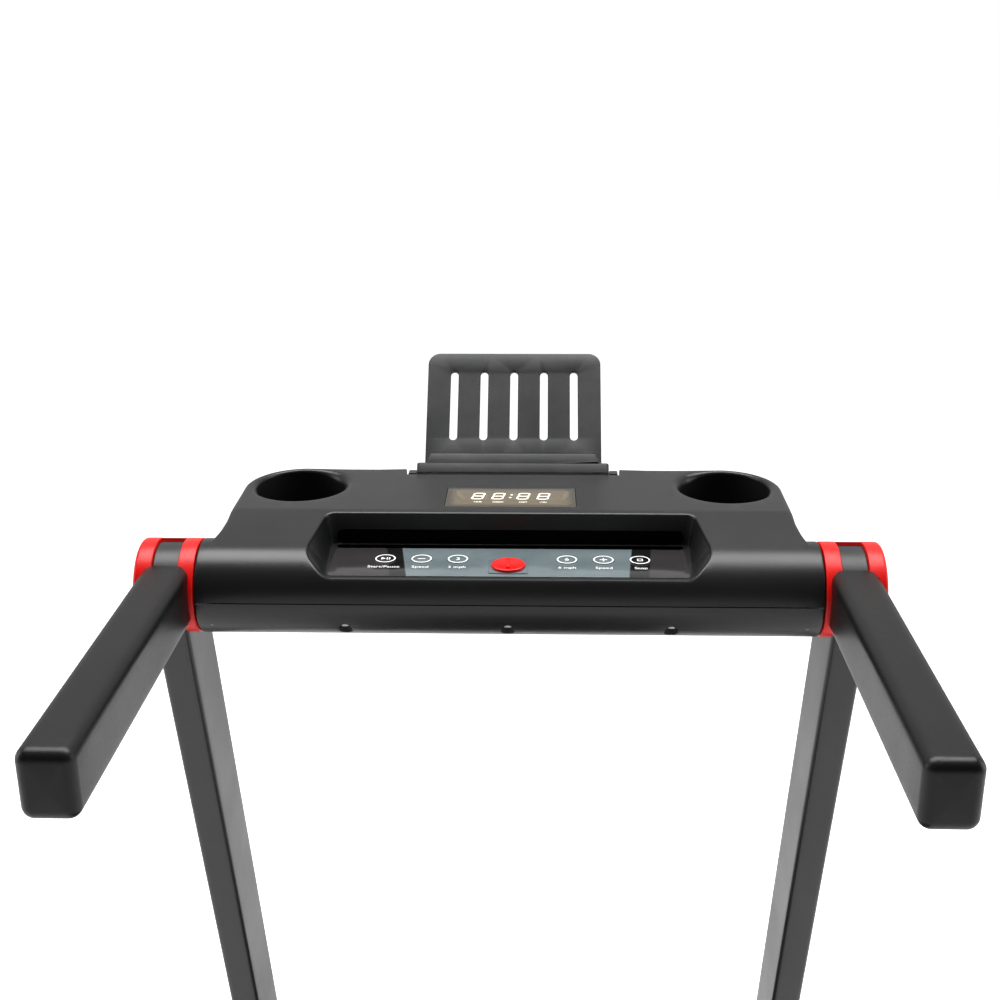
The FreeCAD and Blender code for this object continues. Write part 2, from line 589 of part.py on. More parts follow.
def console_shells():
    wall = "shell_wall"
    skin = cut(console_solid(0), console_solid(size(wall)))
    above = box(("-nose_half - 1", "nose_half + 1"), (-60, 200), ("split_level", 70))
    below = box(("-nose_half - 1", "nose_half + 1"), (-60, 200), (-70, "split_level"))
    pipe_hole = rod("X", "pipe_rad", ("-nose_half - 1", "nose_half + 1"), (0, 0))
    cups, wells = [], []
    for side in (-1, 1):
        at = (f"{side} * cup_x", "cup_y")
        cups.append(rod("Z", "cup_rad + cup_wall", ("cup_floor - 3", "deck_level"), at))
        wells.append(rod("Z", "cup_rad", ("cup_floor", "deck_level + 1"), at))
    notch_wall = box(("-notch_half - shell_wall", "notch_half + shell_wall"),
                     ("notch_front - shell_wall", "console_back"), ("notch_floor - shell_wall", "deck_level"))
    lugs = []
    for low, high in ((94.5, 102.5), (-102.5, -94.5)):
        lugs += [box((low, high), ("console_back - 2", "holder_pin_y"), ("notch_floor", "notch_floor + 10")),
                 rod("X", 5, (low, high), ("holder_pin_y", "holder_pin_z"))]
    notch = box(("-notch_half", "notch_half"), ("notch_front", "console_back + 20"),
                ("notch_floor", "deck_level + 1"))
    tray_hole = plan(both_sides(TRAY_CORNERS), (15, 70))
    window_hole = box(("-window_half", "window_half"), ("window_front", "window_front + window_long"), (40, 60))
    pin_hole = rod("X", "holder_pin_rad", (-103, 103), ("holder_pin_y", "holder_pin_z"))
    upper = cut(fuse(common(skin, above), *cups, notch_wall), *wells, notch, tray_hole, window_hole, pipe_hole)
    part("console_upper_shell", at_tilt(cut(fuse(upper, *lugs), pin_hole)))
    part("holder_pin", at_tilt(rod("X", "holder_pin_rad", (-102.5, 102.5), ("holder_pin_y", "holder_pin_z"))))

    ribs = common(console_solid(1), fuse(*[box((x, x + 5), (-60, 60), (-70, "split_level"))
                                           for x in (-183, 178)]))
    bosses = common(console_solid(1), fuse(*[rod("Z", 8.5, (-50, SCREW_TOP + 5), (x, SCREW_Y))
                                              for x in SCREW_CENTRES]))
    recesses = [rod("Z", 5.5, (-60, SCREW_TOP), (x, SCREW_Y)) for x in SCREW_CENTRES]
    holes = [rod("Z", 2, (SCREW_TOP - 1, SCREW_TOP + 6), (x, SCREW_Y)) for x in SCREW_CENTRES]
    lower = fuse(common(skin, below), ribs, bosses)
    part("console_lower_shell", at_tilt(cut(lower, pipe_hole, *recesses, *holes)))
    clamps = [cut(box((x, x + 5), (-22, 22), ("split_level", "panel_level - 5")), pipe_hole) for x in (-183, 178)]
    part("axle_clamps", at_tilt(group(*clamps)))
    screws = [fuse(rod("Z", 4.5, (SCREW_TOP - 3, SCREW_TOP), (x, SCREW_Y)),
                   rod("Z", 2, (SCREW_TOP - 1, SCREW_TOP + 8), (x, SCREW_Y))) for x in SCREW_CENTRES]
    part("shell_screws", at_tilt(group(*screws)))


def tray_and_panel():
    solid = console_solid(0)
    cup = plan(both_sides(TRAY_CORNERS), ("panel_level - 3", 70))
    pocket = box(("-panel_half - 3", "panel_half + 3"), ("panel_back", "tray_back"),
                 ("pocket_floor - 2", "panel_level"))
    room = loft(ring(both_sides(FLOOR_CORNERS), "panel_level"),
                ring(inset(both_sides(TRAY_CORNERS), size("cup_wall")), "deck_level + 2"))
    pocket_room = box(("-panel_half", "panel_half"), ("panel_back + 2", "tray_back - 2"),
                      ("pocket_floor", "panel_level + 40"))
    holes = [rod("Z", "key_rad + free_gap", ("panel_level - 4", "panel_level + 1"), (x, "key_y"))
             for x in KEY_RULES.values()]
    tray = cut(fuse(common(solid, cup), pocket), room, pocket_room, *holes)
    front_half = box((-200, 200), (-60, "panel_back"), (0, 70))
    channel_half = box((-200, 200), ("panel_back", 60), (0, 70))
    part("tray_insert", at_tilt(group(common(tray, front_half), common(tray, channel_half))))

    sheet_top = "panel_level + 0.6"
    overlay = box(("-panel_half", "panel_half"), (-20, "panel_back"), ("panel_level", sheet_top))
    overlay_holes = [rod("Z", "key_rad + free_gap", ("panel_level - 1", f"{sheet_top} + 1"), (x, "key_y"))
                     for x in KEY_RULES.values()]
    part("control_overlay", at_tilt(cut(overlay, *overlay_holes)))
    for name, x in KEY_RULES.items():
        part(name, at_tilt(rod("Z", "key_rad", ("panel_level - 2.4", f"{sheet_top} + 0.6"), (x, "key_y"))))
    seat_top = f"{sheet_top} + 0.8"
    part("key_seat", at_tilt(box(("-seat_half", "seat_half"), ("puck_y - 15", "puck_y + seat_half"),
                                 (sheet_top, seat_top))))
    puck = rod("Z", "puck_rad", (seat_top, f"{seat_top} + 2.6"), (0, "puck_y"))
    ridge = box((-1.5, 1.5), ("puck_y - 12", "puck_y + 12"), (f"{seat_top} + 2", f"{seat_top} + 5.5"))
    part("safety_key", at_tilt(fuse(puck, ridge)))

    part("display_window", at_tilt(box(("-window_half", "window_half"),
                                       ("window_front", "window_front + window_long"),
                                       ("deck_level - 2.2", "deck_level"))))
    module = fuse(box((-50, 50), (75, 111), (42, "deck_level - 2.2")), box((-62, 62), (66, 120), (40.4, 42)))
    key_board = box((-132, 136), (-6, 30), ("panel_level - 4.4", "panel_level - 3"))
    part("console_boards", at_tilt(group(module, key_board)))


def tablet_holder():
    """Drawn with its back plate upright, its ledge towards the user, then leaned back."""
    plate = box(("-holder_half + 6", "holder_half - 6"), (-4, 0), (-10, "holder_tall"))
    ledge = box(("-holder_half", "holder_half"), (-19, 0), (-10, 0))
    lip = box(("-holder_half + 8", "holder_half - 8"), (-19, -15), (-1, 9.6))
    lean = math.radians(size("holder_lean"))
    y = size("holder_pin_y") - size("holder_y")
    z = size("holder_pin_z") - size("holder_z")
    pin = (y * math.cos(lean) - z * math.sin(lean), y * math.sin(lean) + z * math.cos(lean))
    barrel = rod("X", "barrel_rad", ("-holder_half", "holder_half"), pin)
    web = box(("-holder_half", "holder_half"), (-4, pin[0]), (pin[1] - size("barrel_rad"), pin[1] + 4.5))
    bore = rod("X", "holder_pin_rad + run_clear", ("-holder_half - 1", "holder_half + 1"), pin)
    slots = [box((x, x + 8), (-5, 1), (30, 105)) for x in (-64, -34, -4, 26, 56)]
    holder = cut(fuse(plate, ledge, lip, barrel, web), bore, *slots)
    part("tablet_holder", place(holder, "tilt_y + holder_y", "tilt_z + holder_z", "-holder_lean"))


MEMBER_CENTRES = (-480, -120, 240)
TRAY_CORNERS = [(158, -34.3), (172, -20.3), (173, -4), (164.5, 51.7)]
FLOOR_CORNERS = [(152, -31.8), (155.5, -27), (157.5, -4), (162, 49.7)]
SCREW_CENTRES = (-255, -140, 0, 140, 255)
SCREW_Y = -30
SCREW_TOP = -20
KEY_RULES = {"start_pause_key": "key_left", "slower_key": "key_left + key_pitch",
             "walk_key": "key_left + 2 * key_pitch", "jog_key": "key_right",
             "faster_key": "key_right + key_pitch", "stop_key": "key_right + 2 * key_pitch"}

base_frame()
deck()
belt_and_rollers()
foot_rails()
rear_caps()
motor_hood()
power_panel()
drive()
front_wheels()
hinge_brackets()
uprights()
pivot_housings()
handles()
console_shells()
tray_and_panel()
tablet_holder()
doc.recompute()

for thing in doc.Objects:
    assert not {"Invalid", "Error"} & set(thing.State), f"{thing.Label}: {thing.State}"
os.makedirs("parts", exist_ok=True)
for thing in PARTS:
    shape = thing.Shape
    assert not shape.isNull() and shape.isValid() and shape.Solids, thing.Label
    shape.exportStep(f"parts/{thing.Label}.step")
print(len(PARTS), "sub-parts,", sum(len(thing.Shape.Solids) for thing in PARTS), "solids")
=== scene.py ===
"""Looks of a folding motorised treadmill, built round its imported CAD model.

Frame: +X to the user's right, +Y forward, +Z up, the floor at z 0.  Meshes are worked out in millimetres
and put down in metres.  The console, its handles and the pivot housings are drawn about the tilt axis at
the top of the uprights (y 225, z 1000), as in the CAD model.
"""
from __future__ import annotations

import json
import logging
import math
from dataclasses import dataclass, field
from enum import Enum

import bmesh
import bpy
import numpy as np
from mathutils import Matrix, Vector
from mathutils.geometry import delaunay_2d_cdt

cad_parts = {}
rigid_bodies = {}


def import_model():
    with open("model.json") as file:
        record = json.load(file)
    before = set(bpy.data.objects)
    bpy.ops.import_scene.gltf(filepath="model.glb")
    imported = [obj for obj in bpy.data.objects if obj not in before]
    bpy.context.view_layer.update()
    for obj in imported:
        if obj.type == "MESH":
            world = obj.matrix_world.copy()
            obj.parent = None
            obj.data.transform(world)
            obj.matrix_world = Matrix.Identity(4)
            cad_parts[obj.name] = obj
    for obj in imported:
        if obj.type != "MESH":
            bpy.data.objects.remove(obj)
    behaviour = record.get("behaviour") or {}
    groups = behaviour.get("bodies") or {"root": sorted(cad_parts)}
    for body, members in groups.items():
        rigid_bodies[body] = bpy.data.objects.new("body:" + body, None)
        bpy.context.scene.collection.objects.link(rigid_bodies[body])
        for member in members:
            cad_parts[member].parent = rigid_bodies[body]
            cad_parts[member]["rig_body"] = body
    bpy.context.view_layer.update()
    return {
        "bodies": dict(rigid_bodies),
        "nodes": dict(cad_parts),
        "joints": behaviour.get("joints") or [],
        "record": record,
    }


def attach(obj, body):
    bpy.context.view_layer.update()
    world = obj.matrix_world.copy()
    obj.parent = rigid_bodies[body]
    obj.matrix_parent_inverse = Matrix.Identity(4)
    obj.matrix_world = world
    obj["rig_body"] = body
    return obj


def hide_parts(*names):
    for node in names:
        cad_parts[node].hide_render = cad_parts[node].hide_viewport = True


LOG = logging.getLogger("treadmill")
MM = 0.001
TILT = (0.0, 225.0, 1000.0)
FOLD = (0.0, 450.0, 190.0)
WELD = 0.02
CAD_WELD = 0.01  # millimetres within which a CAD mesh's loose corners are joined
FLAT = 0.4  # degrees below which two CAD triangles are one face

Array = np.ndarray
Place = tuple[float, float, float]
Spot = tuple[float, float]


class Side(Enum):
    """Which side of the machine a paired piece is on, as the user sees it."""

    LEFT = -1
    RIGHT = 1

    @property
    def word(self) -> str:
        """The side's name, as the CAD nodes end in it."""
        return self.name.lower()


# ---------------------------------------------------------------- outlines


def arc(radius: float, first: float, last: float, steps: int, centre: Spot = (0, 0)) -> Array:
    """Points on an arc: centre + radius (cos a, sin a), a running from first to last.

    Args:
        radius: The arc's radius in millimetres.
        first: The first angle in degrees.
        last: The last angle in degrees.
        steps: How many points, both ends included.
        centre: The arc's centre.

    Returns:
        A (steps, 2) array.
    """
    angles = np.radians(np.linspace(first, last, steps))
    return np.column_stack([np.cos(angles), np.sin(angles)]) * radius + np.asarray(centre, float)


def circle(radius: float, steps: int, centre: Spot = (0, 0)) -> Array:
    """A closed circle, counter-clockwise, its first point not repeated."""
    return arc(radius, 0, 360, steps + 1, centre)[:-1]


def softened_outline(corners: list[Spot], radii: list[float], bend: int = 7, run: int = 1) -> Array:
    """A closed outline whose corners are arcs.

    At a corner of half angle h, the arc of radius r has its centre r / sin h along the bisector and
    touches the sides r / tan h from the corner.

    Args:
        corners: The corners in order.
        radii: One radius for each corner.
        bend: Points on each arc.
        run: Pieces that each straight side is divided into.

    Returns:
        A counter-clockwise (n, 2) array, n being the same for any outline of as many corners.
    """
    points = np.asarray(corners, float)
    bends = []
    for before, here, after, radius in zip(np.roll(points, 1, 0), points, np.roll(points, -1, 0), radii):
        back = (before - here) / np.linalg.norm(before - here)
        onward = (after - here) / np.linalg.norm(after - here)
        half = math.acos(np.clip(back @ onward, -1, 1)) / 2
        middle = back + onward
        centre = here + middle / np.linalg.norm(middle) * radius / math.sin(half)
        start, end = here + back * radius / math.tan(half) - centre, here + onward * radius / math.tan(half) - centre
        first = math.degrees(math.atan2(start[1], start[0]))
        sweep = (math.degrees(math.atan2(end[1], end[0])) - first + 180) % 360 - 180
        bends.append(arc(radius, first, first + sweep, bend, tuple(centre)))
    sides = [np.linspace(one[-1], other[0], run + 1)[1:-1] for one, other in zip(bends, bends[1:] + bends[:1])]
    outline = np.vstack([piece for pair in zip(bends, sides) for piece in pair])
    return outline if area(outline) > 0 else outline[::-1]


def rounded_box(half_u: float, half_v: float, radius: float, centre: Spot = (0, 0),
                bend: int = 7, run: int = 1) -> Array:
    """A rectangle's outline with four round corners."""
    corners = [(half_u, -half_v), (half_u, half_v), (-half_u, half_v), (-half_u, -half_v)]
    return softened_outline(corners, [radius] * 4, bend, run) + np.asarray(centre, float)


def area(outline: Array) -> float:
    """An outline's area, above zero if it runs counter-clockwise: half the sum of u v' - u' v."""
    after = np.roll(outline, -1, 0)
    return float((outline[:, 0] * after[:, 1] - after[:, 0] * outline[:, 1]).sum() / 2)


def outward(outline: Array) -> Array:
    """The unit normals of a closed counter-clockwise outline, from its neighbours' chord (u, v) as (v, -u)."""
    chord = np.roll(outline, -1, 0) - np.roll(outline, 1, 0)
    normal = np.column_stack([chord[:, 1], -chord[:, 0]])
    return normal / np.linalg.norm(normal, axis=1, keepdims=True)


def inside(points: Array, loops: list[Array]) -> Array:
    """Which points lie inside the loops: a line from such a point crosses them an odd number of times.

    Args:
        points: An (n, 2) array.
        loops: Closed outlines, holes among them.

    Returns:
        An (n,) array of booleans.
    """
    crossings = np.zeros(len(points), int)
    for loop in loops:
        (u0, v0), (u1, v1) = loop.T, np.roll(loop, -1, 0).T
        u, v = points[:, :1], points[:, 1:]
        with np.errstate(divide="ignore", invalid="ignore"):
            spans = (v0 > v) != (v1 > v)
            crossings += (spans & (u < (u1 - u0) * (v - v0) / (v1 - v0) + u0)).sum(1)
    return crossings % 2 == 1


def nearest(points: Array, others: Array) -> Array:
    """The distance from each point to the nearest of the others."""
    return np.linalg.norm(points[:, None, :] - others[None, :, :], axis=2).min(1)


def filled(loops: list[Array], grid: Array | None = None) -> tuple[Array, Array]:
    """Triangles that fill an outline with holes.

    Args:
        loops: Closed outlines. The first is outermost and the others are holes in it.
        grid: Points wanted inside, left out where they come within 1.5 mm of an outline.

    Returns:
        The points as (n, 2) and the triangles as (m, 3).
    """
    rims = np.vstack(loops)
    starts = np.cumsum([0] + [len(loop) for loop in loops])
    edges = [(int(a + i), int(a + (i + 1) % (b - a))) for a, b in zip(starts, starts[1:]) for i in range(b - a)]
    if grid is not None:
        kept = grid[inside(grid, loops) & (nearest(grid, rims) > 1.5)]
        rims = np.vstack([rims, kept])
    points, _, faces, *_ = delaunay_2d_cdt([Vector(p) for p in rims.tolist()], edges, [], 0, 1e-5)
    flat = np.array([tuple(p) for p in points])
    triangles = np.array([face for face in faces if len(face) == 3])
    return flat, triangles[inside(flat[triangles].mean(1), loops)]


# ---------------------------------------------------------------- surfaces


class Surface:
    """A piece's skin in the making: grids and filled outlines are added to it, then it is built as one mesh."""

    def __init__(self) -> None:
        """Start with no points and no faces."""
        self.points: list[Array] = []
        self.faces: list[tuple[int, ...]] = []
        self.coats: list[int] = []
        self.count = 0

    def add(self, points: Array, faces: Array | list[tuple[int, ...]], coat: int = 0) -> Surface:
        """Add points with the faces between them.

        Args:
            points: An (n, 3) array in millimetres.
            faces: Point numbers of each face.
            coat: Which of the piece's finishes these faces have.

        Returns:
            The surface itself.
        """
        rows = faces.tolist() if isinstance(faces, np.ndarray) else faces
        self.points.append(np.asarray(points, float).reshape(-1, 3))
        self.faces += [tuple(i + self.count for i in row) for row in rows]
        self.coats += [coat] * len(rows)
        self.count += len(self.points[-1])
        return self

    def grid(self, points: Array, closed: bool = False, coat: int = 0) -> Surface:
        """Add a grid of quads between rows of points; closed joins each row's last point to its first.

        Args:
            points: A (rows, columns, 3) array in millimetres.
            closed: Whether the rows are loops.
            coat: Which of the piece's finishes it has.

        Returns:
            The surface itself.
        """
        rows, columns = points.shape[:2]
        numbers = np.arange(rows * columns).reshape(rows, columns)
        if closed:
            numbers = np.column_stack([numbers, numbers[:, :1]])
        quads = np.stack([numbers[:-1, :-1], numbers[:-1, 1:], numbers[1:, 1:], numbers[1:, :-1]], -1)
        return self.add(points, quads.reshape(-1, 4), coat)

    def lid(self, loop: Array, coat: int = 0) -> Surface:
        """Close a loop of points with triangles to its middle."""
        count = len(loop)
        numbers = np.arange(count)
        fan = np.column_stack([numbers, np.roll(numbers, -1), np.full(count, count)])
        return self.add(np.vstack([loop, loop.mean(0)]), fan, coat)

    def turned_about_x(self, profile: Array, first: float, last: float, steps: int, coat: int = 0) -> Surface:
        """Add a profile of (x, r) points turned about the X axis: (x, r cos a, r sin a).

        Args:
            profile: An (n, 2) array of places along the axis and radii.
            first: The first angle in degrees, from +Y towards +Z.
            last: The last angle.
            steps: Angles, both ends included; a full turn is closed.
            coat: Which of the piece's finishes it has.

        Returns:
            The surface itself.
        """
        full = abs(last - first) >= 359.9
        angles = np.radians(np.linspace(first, last, steps + 1)[:-1] if full else np.linspace(first, last, steps))
        x, r = profile[:, 0][:, None], profile[:, 1][:, None]
        return self.grid(np.stack([x + 0 * angles, r * np.cos(angles), r * np.sin(angles)], -1), full, coat)

    def built(self, name: str, finishes: list[Finish], origin: Place = (0, 0, 0),
              outside: Place = (0, 0, 1), sharp: float = 34) -> bpy.types.Object:
        """Make the object: weld, turn the faces outwards and smooth all but the sharp edges.

        Args:
            name: The piece's name.
            finishes: One finish for each coat.
            origin: Where the surface's own origin is, in millimetres.
            outside: A direction in which the furthest face looks outwards.
            sharp: The angle in degrees above which an edge stays sharp.

        Returns:
            The new object, with its place in its mesh.
        """
        mesh = bpy.data.meshes.new(name)
        mesh.from_pydata(((np.vstack(self.points) + origin) * MM).tolist(), [], self.faces)
        mesh.polygons.foreach_set("material_index", self.coats)
        for finish in finishes:
            mesh.materials.append(finish.material())
        work = bmesh.new()
        work.from_mesh(mesh)
        bmesh.ops.remove_doubles(work, verts=work.verts, dist=WELD * MM)
        bmesh.ops.dissolve_degenerate(work, edges=work.edges, dist=WELD * MM / 4)
        bmesh.ops.recalc_face_normals(work, faces=work.faces)
        aim = Vector(outside)
        furthest = max(work.faces,
                       key=lambda face: face.calc_center_median().dot(aim) + 1e-4 * abs(face.normal.dot(aim)))
        if furthest.normal.dot(aim) < 0:
            bmesh.ops.reverse_faces(work, faces=work.faces)
        work.to_mesh(mesh)
        work.free()
        mesh.shade_smooth()
        mesh.set_sharp_from_angle(angle=math.radians(sharp))
        piece = bpy.data.objects.new(name, mesh)
        bpy.context.scene.collection.objects.link(piece)
        return piece


def raised(plan: Array, heights: Array | float) -> Array:
    """Points (x, y) in plan with a height each, as (x, y, z)."""
    return np.column_stack([plan, np.broadcast_to(heights, len(plan))])


def slab(surface: Surface, loops: list[Array], low: float, high: float, soft: float = 0.3, coat: int = 0,
         steps: int = 4, back: bool = True) -> Surface:
    """Add a flat plate with holes and softened upper edges.

    Along each edge the skin follows a quarter circle of radius soft: in by soft (1 - sin a) and down by
    soft (1 - cos a), as a runs from 0 to 90 degrees; then the wall goes straight down.

    Args:
        surface: What it is added to.
        loops: The plate's outline and then its holes, in plan.
        low: The height of its underside.
        high: The height of its face.
        soft: The radius of its upper edges.
        coat: Which of the piece's finishes it has.
        steps: Rows on each soft edge.
        back: Whether it has an underside.

    Returns:
        The surface.
    """
    loops = [loop if area(loop) > 0 else loop[::-1] for loop in loops]
    angles = np.linspace(0, math.pi / 2, steps)
    inner = []
    for number, loop in enumerate(loops):
        way = outward(loop) * (1 if number == 0 else -1)
        rows = [raised(loop - way * soft * (1 - math.sin(a)), high - soft * (1 - math.cos(a))) for a in angles]
        inner.append(rows[0][:, :2])
        surface.grid(np.array(rows + [raised(loop, low)]), True, coat)
    points, triangles = filled(inner)
    surface.add(raised(points, high), triangles, coat)
    if back:
        points, triangles = filled(loops)
        surface.add(raised(points, low), triangles[:, ::-1], coat)
    return surface


def lettering(words: str, height: float, centre: Spot, level: float) -> tuple[Array, list[tuple[int, ...]]]:
    """Flat printed words, read by someone who faces +Y.

    Args:
        words: What is printed.
        height: The type's size in millimetres.
        centre: The middle of the line, in plan.
        level: The height of the surface it is printed on.

    Returns:
        Points and faces for Surface.add.
    """
    curve = bpy.data.curves.new("type", "FONT")
    curve.body, curve.size = words, height
    curve.align_x, curve.align_y = "CENTER", "CENTER"
    curve.resolution_u = 3
    holder = bpy.data.objects.new("type", curve)
    bpy.context.scene.collection.objects.link(holder)
    bpy.context.view_layer.update()
    mesh = bpy.data.meshes.new_from_object(holder.evaluated_get(bpy.context.evaluated_depsgraph_get()))
    flat = np.empty(len(mesh.vertices) * 3)
    mesh.vertices.foreach_get("co", flat)
    faces = [tuple(face.vertices) for face in mesh.polygons]
    bpy.data.objects.remove(holder)
    bpy.data.curves.remove(curve)
    bpy.data.meshes.remove(mesh)
    return flat.reshape(-1, 3) + (*centre, level), faces


# ---------------------------------------------------------------- shader groups


def tint(red: int, green: int, blue: int) -> tuple[float, float, float, float]:
    """A display colour of 0 to 255 as linear light: ((c + 0.055) / 1.055) ** 2.4 above 0.04."""
    shares = [channel / 255 for channel in (red, green, blue)]
    return (*[c / 12.92 if c <= 0.04045 else ((c + 0.055) / 1.055) ** 2.4 for c in shares], 1.0)


class Graph:
    """A node tree in the making. A value is a number, a colour or another node's socket."""

    def __init__(self, tree: bpy.types.NodeTree) -> None:
        """Work on that tree."""
        self.tree = tree

    def feed(self, socket: bpy.types.NodeSocket, value: object) -> None:
        """Join a socket to the socket given, or set it to the constant given."""
        if isinstance(value, bpy.types.NodeSocket):
            self.tree.links.new(value, socket)
        else:
            socket.default_value = value

    def node(self, kind: str, inputs: dict[str | int, object] | None = None, **settings: object) -> bpy.types.Node:
        """Add a node.

        Args:
            kind: The node's type.
            inputs: Values for its sockets, by name or number.
            settings: Values for its properties.

        Returns:
            The node.
        """
        made = self.tree.nodes.new(kind)
        for name, value in settings.items():
            setattr(made, name, value)
        for name, value in (inputs or {}).items():
            self.feed(made.inputs[name], value)
        return made

    def math(self, operation: str, *values: object) -> bpy.types.NodeSocket:
        """The result of a Math node."""
        return self.node("ShaderNodeMath", dict(enumerate(values)), operation=operation).outputs[0]

    def times(self, one: object, other: object) -> bpy.types.NodeSocket:
        """The product of two values."""
        return self.math("MULTIPLY", one, other)

    def plus(self, one: object, other: object) -> bpy.types.NodeSocket:
        """The sum of two values."""
        return self.math("ADD", one, other)

    def minus(self, one: object, other: object) -> bpy.types.NodeSocket:
        """The first value less the second."""
        return self.math("SUBTRACT", one, other)

    def mix(self, share: object, first: object, second: object) -> bpy.types.NodeSocket:
        """A colour between two: first (1 - share) + second share."""
        mixer = self.node("ShaderNodeMix", data_type="RGBA")
        for socket, value in zip((mixer.inputs[0], mixer.inputs[6], mixer.inputs[7]), (share, first, second)):
            self.feed(socket, value)
        return mixer.outputs[2]

    def span(self, value: object, low: object, high: object, first: object = 0.0,
             last: object = 1.0) -> bpy.types.NodeSocket:
        """A value's place between low and high, as a number from first to last, held at both ends."""
        return self.node("ShaderNodeMapRange", {0: value, 1: low, 2: high, 3: first, 4: last}).outputs[0]

    def noise(self, where: object, scale: object, detail: float = 3, rough: float = 0.55) -> bpy.types.NodeSocket:
        """Fractal noise from 0 to 1."""
        inputs = {"Vector": where, "Scale": scale, "Detail": detail, "Roughness": rough}
        return self.node("ShaderNodeTexNoise", inputs).outputs[0]

    def place(self) -> bpy.types.NodeSocket:
        """The point's place in the object's own coordinates, in metres."""
        return self.node("ShaderNodeTexCoord").outputs["Object"]

    def stretched(self, where: object, scale: Place) -> bpy.types.NodeSocket:
        """A place multiplied along each axis."""
        return self.node("ShaderNodeMapping", {"Vector": where, "Scale": scale}).outputs[0]

    def axes(self, where: object) -> list[bpy.types.NodeSocket]:
        """A place's X, Y and Z."""
        return list(self.node("ShaderNodeSeparateXYZ", {0: where}).outputs)


class Effect(Enum):
    """The shader groups that several finishes share."""

    GRAIN = "moulded_grain"
    WEAR = "edge_wear"
    DUST = "settled_dust"
    SCUFF = "fine_scuffs"


EFFECT_SOCKETS = {
    Effect.GRAIN: ({"Scale": 900.0, "Softness": 0.5}, ("Height", "Tone")),
    Effect.WEAR: ({"Radius": 0.0015, "Amount": 0.5, "Scale": 60.0}, ("Mask",)),
    Effect.DUST: ({"Amount": 0.3, "Scale": 14.0}, ("Mask",)),
    Effect.SCUFF: ({"Amount": 0.3, "Scale": 40.0}, ("Mask", "Height")),
}


def effect_group(effect: Effect) -> bpy.types.NodeTree:
    """The shader group of an effect, built the first time it is asked for.

    Grain is two noises and cells, as on a spark-eroded mould.  Wear is one minus the cosine between the
    surface's normal and its normal when rounded, broken up by noise.  Dust lies where the normal points
    up, in patches.  Scuffs are thin stretched noise in two directions.

    Args:
        effect: Which effect.

    Returns:
        The node tree.
    """
    found = bpy.data.node_groups.get(effect.value)
    if found:
        return found
    tree = bpy.data.node_groups.new(effect.value, "ShaderNodeTree")
    inputs, outputs = EFFECT_SOCKETS[effect]
    for name, value in inputs.items():
        tree.interface.new_socket(name, in_out="INPUT", socket_type="NodeSocketFloat").default_value = value
    for name in outputs:
        tree.interface.new_socket(name, in_out="OUTPUT", socket_type="NodeSocketFloat")
    graph = Graph(tree)
    given = graph.node("NodeGroupInput").outputs
    result = graph.node("NodeGroupOutput").inputs
    where = graph.place()
    if effect is Effect.GRAIN:
        fine = graph.noise(where, given["Scale"], 2)
        cells = graph.node("ShaderNodeTexVoronoi", {"Vector": where, "Scale": given["Scale"]},
                           feature="SMOOTH_F1").outputs[0]
        graph.feed(result["Height"], graph.plus(graph.times(cells, given["Softness"]), fine))
        broad = graph.noise(where, 7.0, 4)
        graph.feed(result["Tone"], graph.plus(graph.times(broad, 0.6), graph.times(fine, 0.4)))
    elif effect is Effect.WEAR:
        rounded_normal = graph.node("ShaderNodeBevel", {"Radius": given["Radius"]}, samples=4).outputs[0]
        true_normal = graph.node("ShaderNodeNewGeometry").outputs["Normal"]
        cosine = graph.node("ShaderNodeVectorMath", {0: rounded_normal, 1: true_normal},
                            operation="DOT_PRODUCT").outputs["Value"]
        edge = graph.span(cosine, 0.995, 0.86)
        broken = graph.span(graph.noise(where, given["Scale"], 4), 0.42, 0.68)
        graph.feed(result["Mask"], graph.times(graph.times(edge, broken), given["Amount"]))
    elif effect is Effect.DUST:
        upward = graph.axes(graph.node("ShaderNodeNewGeometry").outputs["Normal"])[2]
        patches = graph.span(graph.noise(where, given["Scale"], 5, 0.65), 0.4, 0.72)
        lying = graph.times(graph.span(upward, 0.3, 1.0), patches)
        graph.feed(result["Mask"], graph.times(lying, given["Amount"]))
    else:
        one = graph.noise(graph.stretched(where, (1.0, 14.0, 3.0)), given["Scale"], 4, 0.7)
        other = graph.noise(graph.stretched(where, (12.0, 1.5, 3.0)), given["Scale"], 4, 0.7)
        lines = graph.span(graph.times(one, other), 0.3, 0.42)
        graph.feed(result["Mask"], graph.times(lines, given["Amount"]))
        graph.feed(result["Height"], lines)
    return tree


# ---------------------------------------------------------------- finishes


